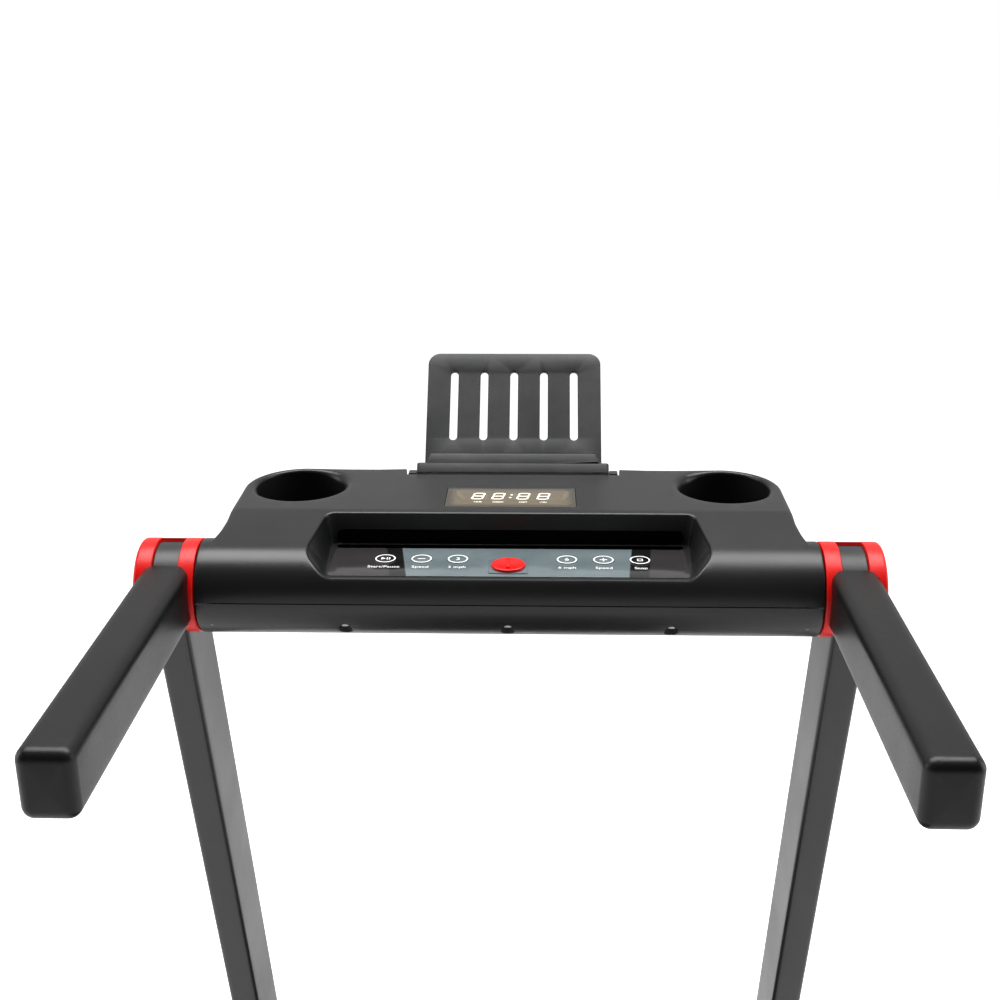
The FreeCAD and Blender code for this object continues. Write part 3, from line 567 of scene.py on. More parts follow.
@dataclass(frozen=True)
class Finish:
    """What a surface is made of. A subclass says how its colour, gloss and relief vary over it."""

    name: str
    colour: tuple[int, int, int]
    gloss: float = 0.45
    shine: float = 0.5
    other_slot: str = ""

    @property
    def slot(self) -> str:
        """The CAD slot it stands for, which is its own name unless it says otherwise."""
        return self.other_slot or self.name

    def material(self) -> bpy.types.Material:
        """The finish's material, made the first time it is asked for, under a name that no CAD slot has."""
        title = f"{self.name}_finish"
        made = bpy.data.materials.get(title)
        if made is None:
            made = bpy.data.materials.new(title)
            made.use_nodes = True
            made.node_tree.nodes.clear()
            graph = Graph(made.node_tree)
            shader = graph.node("ShaderNodeBsdfPrincipled", {"Specular IOR Level": self.shine})
            graph.node("ShaderNodeOutputMaterial", {"Surface": shader.outputs[0]})
            self.paint(graph, shader)
            made.diffuse_color = tint(*self.colour)
        return made

    def paint(self, graph: Graph, shader: bpy.types.Node) -> None:
        """Join the finish's nodes to the shader."""
        raise NotImplementedError

    def use(self, graph: Graph, effect: Effect, **values: float) -> bpy.types.NodeOutputs:
        """Place an effect's group with this finish's own values, and return its outputs."""
        node = graph.node("ShaderNodeGroup", node_tree=effect_group(effect))
        for name, value in values.items():
            graph.feed(node.inputs[name.capitalize()], value)
        return node.outputs

    def mottled(self, graph: Graph, share: object, dark: float, light: float) -> bpy.types.NodeSocket:
        """The finish's colour, from dark to light times itself by a share."""
        base = tint(*self.colour)[:3]
        ends = [(*[min(1.0, c * factor) for c in base], 1.0) for factor in (dark, light)]
        return graph.mix(share, *ends)

    def rough(self, graph: Graph, value: object, less: float, more: float, low: float = 0.3,
              high: float = 0.7) -> bpy.types.NodeSocket:
        """The roughness, from gloss - less to gloss + more as a value goes from low to high."""
        return graph.span(value, low, high, self.gloss - less, self.gloss + more)

    def lay(self, graph: Graph, shader: bpy.types.Node, colour: object, rough: object, height: object | None = None,
            depth: float = 0.0, coat: Spot = (0.0, 0.03)) -> None:
        """Join the colour, the roughness and the relief to the shader.

        Args:
            graph: The material's nodes.
            shader: Its shader.
            colour: What feeds the colour.
            rough: What feeds the roughness.
            height: What feeds the relief, or nothing for a flat surface.
            depth: The relief's depth in metres.
            coat: A clear coat's weight and roughness.
        """
        graph.feed(shader.inputs["Base Color"], colour)
        graph.feed(shader.inputs["Roughness"], rough)
        graph.feed(shader.inputs["Coat Weight"], coat[0])
        graph.feed(shader.inputs["Coat Roughness"], coat[1])
        if height is not None:
            bump = graph.node("ShaderNodeBump", {"Strength": 1.0, "Distance": depth, "Height": height})
            graph.feed(shader.inputs["Normal"], bump.outputs[0])


@dataclass(frozen=True)
class Moulded(Finish):
    """Injection-moulded plastic: a fine eroded grain, a slow change of tone, polished edges and a little dust."""

    grain: float = 900.0
    depth: float = 0.00004
    worn: tuple[int, int, int] = (120, 120, 120)
    wear: float = 0.25
    dust: float = 0.12
    coat: float = 0.0

    def paint(self, graph: Graph, shader: bpy.types.Node) -> None:
        """Mix the tone, the worn edges and the dust, and roughen the gloss with the grain."""
        grain = self.use(graph, Effect.GRAIN, scale=self.grain, softness=0.5)
        wear = self.use(graph, Effect.WEAR, radius=0.0012, amount=self.wear, scale=55.0)["Mask"]
        dust = self.use(graph, Effect.DUST, amount=self.dust, scale=16.0)["Mask"]
        scuff = self.use(graph, Effect.SCUFF, amount=0.35, scale=34.0)["Mask"]
        rubbed = graph.mix(wear, self.mottled(graph, grain["Tone"], 0.78, 1.18), tint(*self.worn))
        polished = graph.minus(self.rough(graph, grain["Tone"], 0.05, 0.06), graph.times(wear, 0.2))
        self.lay(graph, shader, graph.mix(dust, rubbed, tint(150, 146, 140)),
                 graph.plus(polished, graph.times(scuff, 0.12)), grain["Height"], self.depth, (self.coat, 0.12))


@dataclass(frozen=True)
class Painted(Finish):
    """Powder-coated steel: orange-peel relief, satin gloss and edges rubbed towards the metal."""

    worn: tuple[int, int, int] = (150, 150, 150)
    wear: float = 0.3
    peel: float = 260.0
    metal: float = 0.0

    def paint(self, graph: Graph, shader: bpy.types.Node) -> None:
        """Mix the coat's tone with its worn edges and its dust, over a slow orange peel."""
        where = graph.place()
        wear = self.use(graph, Effect.WEAR, radius=0.0014, amount=self.wear, scale=80.0)["Mask"]
        dust = self.use(graph, Effect.DUST, amount=0.07, scale=12.0)["Mask"]
        broad = graph.noise(where, 5.0, 4)
        rubbed = graph.mix(wear, self.mottled(graph, broad, 0.85, 1.15), tint(*self.worn))
        graph.feed(shader.inputs["Metallic"], self.metal)
        graph.feed(shader.inputs["Metallic"], graph.span(wear, 0.3, 1.0, self.metal, 0.9))
        self.lay(graph, shader, graph.mix(dust, rubbed, tint(150, 147, 142)), self.rough(graph, broad, 0.05, 0.07),
                 graph.noise(where, self.peel, 2), 0.00008)


@dataclass(frozen=True)
class BareSteel(Finish):
    """Turned or ground steel: fine rings or lines, uneven sheen and a trace of stain."""

    lines: Place = (1.0, 60.0, 60.0)

    def paint(self, graph: Graph, shader: bpy.types.Node) -> None:
        """Stretch noise into lines for the gloss and relief, and stain the colour in patches."""
        where = graph.place()
        lines = graph.noise(graph.stretched(where, self.lines), 30.0, 5, 0.7)
        stain = graph.span(graph.noise(where, 35.0, 5), 0.5, 0.75, 0.0, 0.5)
        graph.feed(shader.inputs["Metallic"], 1.0)
        self.lay(graph, shader, graph.mix(stain, tint(*self.colour), tint(104, 96, 88)),
                 self.rough(graph, lines, 0.1, 0.15, 0.2, 0.8), lines, 0.00003)


@dataclass(frozen=True)
class Rubber(Finish):
    """Rubber: matt, fine-grained and paler where it is rubbed or dusty; ribs across one axis if it has any."""

    ribs: Place = (0.0, 0.0, 0.0)
    rib_depth: float = 0.0006

    def paint(self, graph: Graph, shader: bpy.types.Node) -> None:
        """Dust the colour, and add the ribs' wave, sin(k . p), to the grain's relief."""
        grain = self.use(graph, Effect.GRAIN, scale=700.0, softness=0.8)
        wear = self.use(graph, Effect.WEAR, radius=0.002, amount=0.35, scale=30.0)["Mask"]
        dust = self.use(graph, Effect.DUST, amount=0.1, scale=9.0)["Mask"]
        rubbed = graph.mix(wear, self.mottled(graph, grain["Tone"], 0.7, 1.4), tint(92, 90, 88))
        height = graph.times(grain["Height"], 0.06)
        if any(self.ribs):
            parts = [graph.times(axis, k) for axis, k in zip(graph.axes(graph.place()), self.ribs)]
            wave = graph.math("SINE", graph.plus(graph.plus(parts[0], parts[1]), parts[2]))
            height = graph.plus(height, graph.span(wave, -0.4, 0.5))
        self.lay(graph, shader, graph.mix(dust, rubbed, tint(140, 136, 130)),
                 self.rough(graph, grain["Tone"], 0.06, 0.08), height, self.rib_depth)


@dataclass(frozen=True)
class BeltCloth(Finish):
    """The walking belt's upper side: a pressed lozenge pattern with a matt, scuffed middle track."""

    wave: float = 1100.0

    def paint(self, graph: Graph, shader: bpy.types.Node) -> None:
        """Press lozenges by max(sin(kx + ky), sin(kx - ky)), and pale the colour towards the middle track."""
        x, y, _ = graph.axes(graph.place())
        across, along = graph.times(x, self.wave), graph.times(y, self.wave)
        waves = [graph.math("SINE", graph.math(sense, across, along)) for sense in ("ADD", "SUBTRACT")]
        lozenge = graph.span(graph.math("MAXIMUM", *waves), 0.2, 0.95)
        grain = self.use(graph, Effect.GRAIN, scale=1500.0, softness=0.4)
        scuff = self.use(graph, Effect.SCUFF, amount=0.6, scale=22.0)["Mask"]
        dust = self.use(graph, Effect.DUST, amount=0.06, scale=8.0)["Mask"]
        track = graph.span(graph.math("ABSOLUTE", x), 0.05, 0.16, 0.35, 0.0)
        walked = graph.mix(graph.times(track, scuff), self.mottled(graph, lozenge, 0.6, 1.35), tint(96, 94, 92))
        self.lay(graph, shader, graph.mix(dust, walked, tint(128, 124, 118)),
                 self.rough(graph, grain["Tone"], 0.07, 0.07),
                 graph.plus(lozenge, graph.times(grain["Height"], 0.2)), 0.0003)


@dataclass(frozen=True)
class PrintedSheet(Finish):
    """The keys' glossy sheet: near black, with a painted reflection of a tablet across its middle: a paler field
    between slanted edges.
    """

    field: tuple[int, int, int] = (98, 110, 114)
    cloud: tuple[int, int, int] = (110, 121, 124)
    band: tuple[int, int, int] = (24, 23, 24)
    slants: Spot = (-0.141, 0.088)

    def paint(self, graph: Graph, shader: bpy.types.Node) -> None:
        """Paint the reflection's paler field where x is between two lines x0 + k (y - y0), with a darker band of the
        painted reflection outside each.
        """
        where = graph.place()
        x, y, _ = graph.axes(where)
        depth = graph.minus(y, (TILT[1] + 38.0) * MM)
        left, right = (graph.minus(x, graph.times(depth, slant)) for slant in self.slants)
        # printed is the mask of the painted reflection's field, not of real print.
        printed = graph.times(graph.span(left, -0.0965, -0.0955), graph.span(right, 0.1095, 0.1085))
        band = graph.times(graph.span(left, -0.1105, -0.1095), graph.span(right, 0.1265, 0.1255))
        speck = graph.noise(where, 420.0, 3)
        ends = self.mottled(graph, speck, 0.9, 1.12)
        middle = graph.mix(graph.span(graph.noise(where, 30.0, 3), 0.3, 0.7), tint(*self.field), tint(*self.cloud))
        self.lay(graph, shader, graph.mix(printed, graph.mix(band, ends, tint(*self.band)), middle),
                 self.rough(graph, speck, 0.0, 0.05), graph.noise(where, 160.0, 2), 0.00004, (0.35, 0.08))


@dataclass(frozen=True)
class SmokedPane(Finish):
    """The display's tinted window: brown and glossy, a little paler where the lit module is behind it."""

    def paint(self, graph: Graph, shader: bpy.types.Node) -> None:
        """Lighten the tint inside the module's rectangle, and let fine smears vary the gloss."""
        where = graph.place()
        x, y, _ = graph.axes(where)
        away = graph.math("ABSOLUTE", graph.minus(y, (TILT[1] + 93.0) * MM))
        module = graph.times(graph.span(graph.math("ABSOLUTE", x), 0.057, 0.05), graph.span(away, 0.024, 0.017))
        smear = graph.noise(graph.stretched(where, (1.0, 5.0, 1.0)), 26.0, 4)
        lit = self.mottled(graph, smear, 1.05, 1.4)
        self.lay(graph, shader, graph.mix(module, self.mottled(graph, 0.0, 0.4, 0.4), lit),
                 self.rough(graph, smear, 0.0, 0.1), coat=(0.5, 0.05))


@dataclass(frozen=True)
class Ink(Finish):
    """Screen-printed or lit marks: flat, even, very slightly broken up, with a glow of its own; on printed ink, which
    is no lamp, the glow is painted light.
    """

    glow: float = 0.0

    def paint(self, graph: Graph, shader: bpy.types.Node) -> None:
        """Break the colour up with fine noise, and give it emission if it has a glow, which on printed ink is painted
        light.
        """
        speck = graph.noise(graph.place(), 2600.0, 2)
        broken = self.mottled(graph, graph.span(speck, 0.25, 0.45), 0.8, 1.0)
        self.lay(graph, shader, broken, self.rough(graph, speck, 0.0, 0.1, 0.2, 0.8))
        if self.glow:
            graph.feed(shader.inputs["Emission Color"], broken)
            graph.feed(shader.inputs["Emission Strength"], self.glow)


@dataclass(frozen=True)
class PressedBoard(Finish):
    """Wood-fibre board: brown flecks of fibre, and a waxed, slightly darker face."""

    def paint(self, graph: Graph, shader: bpy.types.Node) -> None:
        """Stretch noise along Y into fibres, over a slower change of tone."""
        where = graph.place()
        fibres = graph.noise(graph.stretched(where, (8.0, 1.5, 8.0)), 90.0, 6, 0.7)
        worn = graph.mix(fibres, tint(112, 82, 52), tint(*self.colour))
        self.lay(graph, shader, graph.mix(graph.times(graph.noise(where, 6.0, 3), 0.4), worn, tint(92, 68, 46)),
                 self.rough(graph, fibres, 0.1, 0.1, 0.2, 0.8), fibres, 0.0001)


@dataclass(frozen=True)
class CircuitBoard(Finish):
    """A circuit board: solder mask over square-cornered tracks, with tinned pads."""

    def paint(self, graph: Graph, shader: bpy.types.Node) -> None:
        """Draw tracks as the edges of Chebychev cells, and pads as a finer set of dots."""
        where = graph.place()
        cells = graph.node("ShaderNodeTexVoronoi", {"Vector": where, "Scale": 160.0}, distance="CHEBYCHEV").outputs[0]
        tracks = graph.span(graph.math("FRACT", graph.times(cells, 5.0)), 0.42, 0.5)
        dots = graph.node("ShaderNodeTexVoronoi", {"Vector": where, "Scale": 300.0}).outputs[0]
        pads = graph.span(dots, 0.24, 0.2)
        mask = graph.mix(tracks, tint(*self.colour), tint(28, 104, 60))
        graph.feed(shader.inputs["Metallic"], pads)
        self.lay(graph, shader, graph.mix(pads, mask, tint(196, 196, 190)),
                 self.rough(graph, tracks, 0.0, 0.15, 0.0, 1.0), tracks, 0.00006)


CONSOLE = Moulded("console_plastic", (24, 24, 24), 0.34, worn=(84, 82, 80), wear=0.12, dust=0.012)
# Painted shade: near black and matter than the shell, laid inside the cup wells and the screw recesses where shade
# falls.
RECESS_PAINTED_SHADE = Moulded("cup_lining", (9, 9, 9), 0.6, 0.25, wear=0.05, dust=0.03, other_slot="tray_black")
TRAY = Moulded("tray_plastic", (18, 19, 19), 0.42, 0.4, grain=1300.0, wear=0.1, dust=0.012, other_slot="tray_black")
# Painted shade: near black with almost no shine, for the phone slot and a strip on the tray's back wall where shade
# falls.
SLOT_PAINTED_SHADE = Moulded("slot_lining", (3, 3, 3), 0.8, 0.05, wear=0.0, dust=0.0, other_slot="tray_black")
RED = Moulded("red_plastic", (232, 16, 12), 0.36, 0.34, grain=1500.0, depth=0.00002,
              worn=(240, 120, 104), wear=0.25, dust=0.04)
KEY_RED = Moulded("key_red", (236, 14, 10), 0.3, grain=1600.0, depth=0.00002, worn=(246, 110, 96),
                  wear=0.3, dust=0.02)
GRIP = Moulded("grip_plastic", (16, 15, 15), 0.36, 0.34, grain=620.0, depth=0.00006,
               worn=(80, 76, 74), wear=0.15, dust=0.008)
BLACK = Moulded("black_plastic", (26, 26, 27), 0.42, worn=(104, 102, 100), wear=0.3, dust=0.07)
HOLDER = Moulded("holder_plastic", (24, 25, 26), 0.4, grain=1100.0, worn=(110, 108, 106), wear=0.25,
                 other_slot="black_plastic")
SEAT = Moulded("seat_grey", (104, 112, 116), 0.22, grain=1800.0, depth=0.00001, wear=0.1, dust=0.02,
               coat=0.3)
NYLON = Moulded("nylon_white", (214, 210, 200), 0.4, grain=1200.0, worn=(190, 186, 178), wear=0.3,
                dust=0.05)
UPRIGHT = Painted("upright_paint", (50, 48, 49), 0.38, 0.6, metal=0.25)
FRAME_BLACK = Painted("steel_black", (30, 30, 32), 0.42)
STEEL = BareSteel("bare_steel", (178, 176, 172), 0.3)
RUBBER = Rubber("rubber_black", (26, 26, 26), 0.78)
TREAD = Rubber("foot_rail_tread", (34, 34, 35), 0.6, ribs=(520.0, 0.0, 0.0), rib_depth=0.0007,
               other_slot="black_plastic")
BELT = BeltCloth("belt_rubber", (30, 30, 31), 0.68)
DRIVE_BELT = Rubber("drive_belt_rubber", (22, 22, 22), 0.6, ribs=(2600.0, 0.0, 0.0), rib_depth=0.0004,
                    other_slot="belt_rubber")
# The sheet's paler field and its darker bands are a painted reflection of a tablet.
SHEET = PrintedSheet("panel_gloss", (52, 49, 50), 0.16)
PANE = SmokedPane("smoked_window", (92, 81, 62), 0.1)
# Printed white ink is no lamp: its glow of 0.35 is painted light that brightens the print.
WHITE_INK_PAINTED_GLOW = Ink("white_ink", (245, 245, 245), 0.4, glow=0.35, other_slot="panel_gloss")
LIT_DIGIT = Ink("lit_digit", (250, 246, 232), 0.4, glow=0.9, other_slot="smoked_window")
BOARD = PressedBoard("wood_board", (150, 116, 78), 0.55)
CIRCUIT = CircuitBoard("circuit_green", (14, 74, 40), 0.3)


# ---------------------------------------------------------------- joining the frame


@dataclass
class Workshop:
    """Where pieces are joined to the CAD frame: each rides on its body and stands for its nodes."""

    frame: dict
    made: list[str] = field(default_factory=list)

    def body_of(self, node: str) -> str:
        """The CAD body that a node belongs to."""
        return self.frame["nodes"][node]["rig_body"]

    def hang(self, piece: bpy.types.Object, body: str, finish: Finish, *nodes: str) -> bpy.types.Object:
        """Ride a piece on a body and let it stand for CAD nodes.

        Args:
            piece: The new piece.
            body: The CAD body it moves with.
            finish: Its main finish; not used.
            nodes: The CAD nodes that it replaces.

        Returns:
            The piece.
        """
        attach(piece, body)
        if nodes:
            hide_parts(*nodes)
        self.made.append(piece.name)
        LOG.info("%s: %d faces on %s", piece.name, len(piece.data.polygons), body)
        return piece

    def put(self, surface: Surface, name: str, body: str, finishes: list[Finish], *nodes: str,
            origin: Place = TILT, outside: Place = (0, 0, 1), sharp: float = 34) -> None:
        """Build a surface and hang it.

        Args:
            surface: The piece's skin.
            name: The piece's name.
            body: The CAD body it moves with.
            finishes: One finish for each coat, the main one first.
            nodes: The CAD nodes that it replaces.
            origin: Where the surface's own origin is, in millimetres.
            outside: A direction in which the furthest face looks outwards.
            sharp: The angle in degrees above which an edge stays sharp.
        """
        self.hang(surface.built(name, finishes, origin, outside, sharp), body, finishes[0], *nodes)

    def dress(self, node: str, finish: Finish) -> None:
        """Give a CAD node that stays as it is a finish of its own."""
        materials = self.frame["nodes"][node].data.materials
        materials.clear()
        materials.append(finish.material())
        LOG.info("%s: dressed in %s", node, finish.name)

    def soften(self, node: str, finish: Finish, width: float, sharp: float = 35, rows: int = 2) -> bpy.types.Object:
        """Replace a CAD node by a copy whose loose triangles are joined and whose edges are rounded.

        Args:
            node: The CAD node.
            finish: Its finish.
            width: How wide the rounded edges are, in millimetres, 0 for none.
            sharp: The angle in degrees above which an edge is rounded and stays sharp.
            rows: Faces across each rounded edge.

        Returns:
            The new piece.
        """
        mesh = self.frame["nodes"][node].data.copy()
        mesh.name = f"{node}_skin"
        work = bmesh.new()
        work.from_mesh(mesh)
        bmesh.ops.remove_doubles(work, verts=work.verts, dist=CAD_WELD * MM)
        bmesh.ops.dissolve_limit(work, angle_limit=math.radians(FLAT), verts=work.verts, edges=work.edges)
        bmesh.ops.recalc_face_normals(work, faces=work.faces)
        work.to_mesh(mesh)
        work.free()
        mesh.materials.clear()
        mesh.materials.append(finish.material())
        mesh.shade_smooth()
        mesh.set_sharp_from_angle(angle=math.radians(sharp))
        piece = bpy.data.objects.new(f"{node}_skin", mesh)
        bpy.context.scene.collection.objects.link(piece)
        if width:
            bevel = piece.modifiers.new("rounded_edges", "BEVEL")
            bevel.width, bevel.segments, bevel.limit_method = width * MM, rows, "ANGLE"
            bevel.angle_limit, bevel.harden_normals = math.radians(sharp), True
        return self.hang(piece, self.body_of(node), finish, node)


# ---------------------------------------------------------------- console


@dataclass(frozen=True)
class Skin:
    """A surface that is straight along X: the point at x, after a run s along a side profile, is (x, y(s), z(s))."""

    profile: Array

    @property
    def run(self) -> Array:
        """The length run along the profile at each of its points: the sum of the steps' lengths."""
        return np.concatenate([[0.0], np.cumsum(np.linalg.norm(np.diff(self.profile, axis=0), axis=1))])

    def run_at(self, y: Array) -> Array:
        """The run at which the profile reaches y, its y growing all the way."""
        return np.interp(y, self.profile[:, 0], self.run)

    def height(self, y: Array) -> Array:
        """The profile's z at y."""
        return np.interp(y, self.profile[:, 0], self.profile[:, 1])

    def lift(self, flat: Array) -> Array:
        """Points (x, s) on the unrolled skin as (x, y, z)."""
        return np.column_stack([flat[:, 0], np.interp(flat[:, 1], self.run, self.profile[:, 0]),
                                np.interp(flat[:, 1], self.run, self.profile[:, 1])])

    def unrolled(self, plan: Array) -> Array:
        """Points (x, y) in plan as (x, s)."""
        return np.column_stack([plan[:, 0], self.run_at(plan[:, 1])])


@dataclass(frozen=True)
class Rim:
    """An opening's or outline's edge in plan: the wall's line, the way into the material, and the edge's radius."""

    wall: Array
    inward: Array
    radius: Array

    @property
    def start(self) -> Array:
        """Where the rounded edge begins on the skin: wall + inward * radius."""
        return self.wall + self.inward * self.radius[:, None]

    def rows(self, skin: Skin, sense: float, steps: int = 7) -> Array:
        """The rounded edge, in by radius (1 - sin a) and away from the skin by radius (1 - cos a), a from 0 to 90.

        Args:
            skin: The surface that it leaves.
            sense: -1 where the wall goes down from the skin, 1 where it goes up.
            steps: Rows.

        Returns:
            A (steps, n, 3) array whose last row is on the wall's line.
        """
        angles = np.linspace(0, math.pi / 2, steps)[:, None]
        share = (1 - np.sin(angles))[..., None]
        plan = self.wall + self.inward * self.radius[:, None] * share
        heights = skin.height(plan[..., 1]) + sense * self.radius * (1 - np.cos(angles))
        return np.concatenate([plan, heights[..., None]], axis=2)


def opening(outline: Array, radius: Array | float) -> Rim:
    """The rim of a hole in the skin."""
    outline = outline if area(outline) > 0 else outline[::-1]
    return Rim(outline, outward(outline), np.broadcast_to(np.asarray(radius, float), (len(outline),)))


@dataclass(frozen=True)
class Console:
    """The console's body: a round nose, a rising top, a level top with two cup wells, a tray and a window."""

    nose: float = 41.3
    rise: float = 8.0
    crease: float = 58.3
    level: float = 49.9
    back: float = 175.0
    chin: float = -12.0
    half: float = 253.5
    flare: float = 4.0
    corner: float = 55.0
    split: float = 0.8
    lower_split: float = 0.1
    dip_depth: float = 0.22
    dip_width: float = 0.5
    nose_half: float = 267.0
    cup: Spot = (200.8, 127.5)
    cup_radius: float = 41.5
    cup_floor: float = -3.0
    notch: Place = (103.8, 158.0, 36.0)
    window: Place = (60.0, 25.0, 93.0)
    screws: tuple[float, ...] = (-255.0, -140.0, 0.0, 140.0, 255.0)
    screw_y: float = -30.0
    tray: tuple[Spot, ...] = ((158, -34.3), (172, -20.3), (173, -4), (164.5, 51.7))
    tray_floor: tuple[Spot, ...] = ((152, -31.8), (155.5, -27), (157.5, -4), (162, 49.7))
    tray_bends: tuple[float, ...] = (17, 22, 34, 9)
    tray_soft: float = 2.3
    floor_level: float = 20.0

    def upper_skin(self) -> Skin:
        """The top's profile: the nose's arc, then a straight rise, a fine groove at the crease and the level top."""
        seam = math.degrees(math.asin(self.split / self.nose))
        bow = arc(self.nose, 180 - seam, 90 + self.rise, 90)
        groove = self.crease + np.array([-1.6, -0.9, -0.5, 0.0, 0.5, 0.9, 1.6])
        y = np.concatenate([np.linspace(bow[-1, 0], self.crease - 4, 12)[1:], groove,
                            np.linspace(self.crease + 4, self.back, 14)])
        straight = np.interp(y, [bow[-1, 0], self.crease], [bow[-1, 1], self.level])
        dip = self.dip_depth * np.exp(-(((y - self.crease) / self.dip_width) ** 2))
        return Skin(np.vstack([bow, np.column_stack([y, straight - dip])]))

    def lower_skin(self) -> Skin:
        """The underside's profile: the nose's arc, then straight to the foot of the back wall."""
        slope = math.degrees(math.atan2(self.chin + self.nose, self.back))
        seam = math.degrees(math.asin(self.lower_split / self.nose))
        bow = arc(self.nose, 180 + seam, 270 + slope, 90)
        y = np.linspace(bow[-1, 0], self.back, 20)[1:]
        chin = np.interp(y, [bow[-1, 0], self.back], [bow[-1, 1], self.chin])
        return Skin(np.vstack([bow, np.column_stack([y, chin])]))

    def outline(self, first: float, notched: bool) -> Array:
        """The body's plan from the right side's first y, round the back, to the left side's.

        Args:
            first: Where the side starts.
            notched: Whether the back has the tablet rest's notch.

        Returns:
            An (n, 2) array that runs counter-clockwise.
        """
        centre = (self.half - self.corner, self.back - self.corner)
        y = np.concatenate([np.linspace(first, 38, 13), np.linspace(42, centre[1], 12)[:-1]])
        sides = np.column_stack([np.interp(y, [0, 40], [self.half + self.flare, self.half]), y])
        bend = arc(self.corner, 0, 90, 33, centre)
        half, front, _ = self.notch
        if notched:
            step = 2.5
            along = np.column_stack([np.linspace(centre[0], half + step, 12)[1:-1], np.full(10, self.back)])
            out = arc(step, 90, 180, 5, (half + step, self.back - step))
            turn = arc(step, 0, -90, 5, (half - step, front + step))
            bottom = np.column_stack([np.linspace(half - step, 0, 11)[1:], np.full(10, front)])
            right = np.vstack([sides, bend, along, out, turn, bottom])
        else:
            along = np.column_stack([np.linspace(centre[0], 0, 22)[1:], np.full(21, self.back)])
            right = np.vstack([sides, bend, along])
        return np.vstack([right, (right * (-1, 1))[-2::-1]])

    def edge(self, skin: Skin, first: float, notched: bool, soft: float) -> Rim:
        """The body's outer edge. Its radius grows from nothing where the side leaves the nose.

        Args:
            skin: The surface whose edge it is.
            first: Where the side starts.
            notched: Whether the back has the notch.
            soft: The edge's full radius.

        Returns:
            The rim, an open line.
        """
        line = self.outline(first, notched)
        chord = np.gradient(line, axis=0)
        inward = np.column_stack([-chord[:, 1], chord[:, 0]])
        inward /= np.linalg.norm(inward, axis=1, keepdims=True)
        y = line[:, 1]
        round_height = np.sqrt(np.clip(self.nose**2 - y**2, 0, None))
        free = np.where(np.abs(y) < self.nose, np.abs(skin.height(y)) - round_height, soft * 2)
        radius = np.clip(free * 0.7, 0.0, soft)
        radius[[0, -1]] = 0.0
        if notched:
            gap = np.abs(np.linalg.norm(np.abs(line) - self.cup, axis=1) - self.cup_radius)
            radius = np.minimum(radius, np.clip(gap * 0.36, 1.2, soft))
            radius = np.where(np.abs(line[:, 0]) < self.notch[0] + 4, np.minimum(radius, 1.2), radius)
            padded = np.pad(radius, 2, mode="edge")
            radius[1:-1] = np.convolve(padded, np.ones(5) / 5, "valid")[1:-1]
        return Rim(line, inward, radius)

    def sheet(self, skin: Skin, edge: Rim, holes: list[Rim], rows: Array) -> tuple[Array, Array]:
        """The skin between its outer edge and its holes, as lifted points and triangles.

        Args:
            skin: The surface.
            edge: The body's outer edge.
            holes: The rims of its openings.
            rows: The runs at which rows of points are wanted.

        Returns:
            Points (n, 3) and triangles (m, 3).
        """
        side = self.half + self.flare
        outer = skin.unrolled(edge.start)
        nose = np.linspace(outer[-1, 1], 0, 18)[1:]
        front = np.linspace(-side, side, 44)[1:]
        loop = np.vstack([outer, np.column_stack([np.full(17, -side), nose]), np.column_stack([front, 0 * front]),
                          np.column_stack([np.full(16, side), nose[-2::-1]])])
        x, s = np.meshgrid(np.linspace(-side, side, 44)[1:-1], rows)
        loops = [loop] + [skin.unrolled(hole.start) for hole in holes]
        flat, triangles = filled(loops, np.column_stack([x.ravel(), s.ravel()]))
        return skin.lift(flat), triangles

    def cup_rim(self, side: Side, edge: Rim) -> Rim:
        """A cup well's rim: broad and soft, and narrower where the well comes near the body's edge."""
        outline = circle(self.cup_radius, 96, (side.value * self.cup[0], self.cup[1]))
        gap = nearest(outline, edge.wall)
        return opening(outline, np.clip(gap * 0.48, 2.4, 9.0))

    def tray_outline(self, corners: tuple[Spot, ...], radii: tuple[float, ...]) -> Array:
        """The tray's outline in plan at its rim or its floor, from the corners of its right half."""
        both = list(corners) + [(-x, y) for x, y in reversed(corners)]
        return softened_outline(both, list(radii) + list(radii[::-1]), 7, 9)

    def upper_shell(self) -> Surface:
        """The upper shell with its rims, cup wells, notch and outer wall."""
        skin = self.upper_skin()
        leave = self.nose * math.cos(math.radians(90 + self.rise))
        edge = self.edge(skin, leave, True, 4.6)
        cups = [self.cup_rim(side, edge) for side in Side]
        tray = opening(self.tray_outline(self.tray, self.tray_bends), self.tray_soft)
        half_u, half_v, middle = self.window
        pane = opening(rounded_box(half_u, half_v, 2, (0, middle), 5, 4), 0.6)
        run_leave = float(skin.run_at(leave))
        rows = np.concatenate([np.linspace(0, run_leave, 18)[1:],
                               np.linspace(run_leave, skin.run_at(self.crease - 4), 7)[1:],
                               skin.run_at(self.crease + np.array([-1.6, -0.9, -0.5, 0, 0.5, 0.9, 1.6])),
                               np.linspace(skin.run_at(self.crease + 6), skin.run[-1] - 6, 11)])
        shell = Surface()
        shell.add(*self.sheet(skin, edge, [*cups, tray, pane], rows))
        bend = edge.rows(skin, -1)
        shell.grid(bend)
        in_notch = (np.abs(edge.wall[:, 0]) < self.notch[0] + 0.1) & (edge.wall[:, 1] > 140)
        foot = np.where(in_notch, self.notch[2], self.split)
        wall = raised(edge.wall, foot)
        lip = raised(edge.wall + edge.inward * 2.4, foot)
        shell.grid(np.stack([bend[-1], wall, lip]))
        self.notch_floor(shell)
        for cup, side in zip(cups, Side):
            rim = cup.rows(skin, -1, 9)
            shell.grid(rim, True)
            self.cup_well(shell, rim[-1], (side.value * self.cup[0], self.cup[1]))
        for hole, depth in ((tray, 3.0), (pane, 2.4)):
            rim = hole.rows(skin, -1, 5)
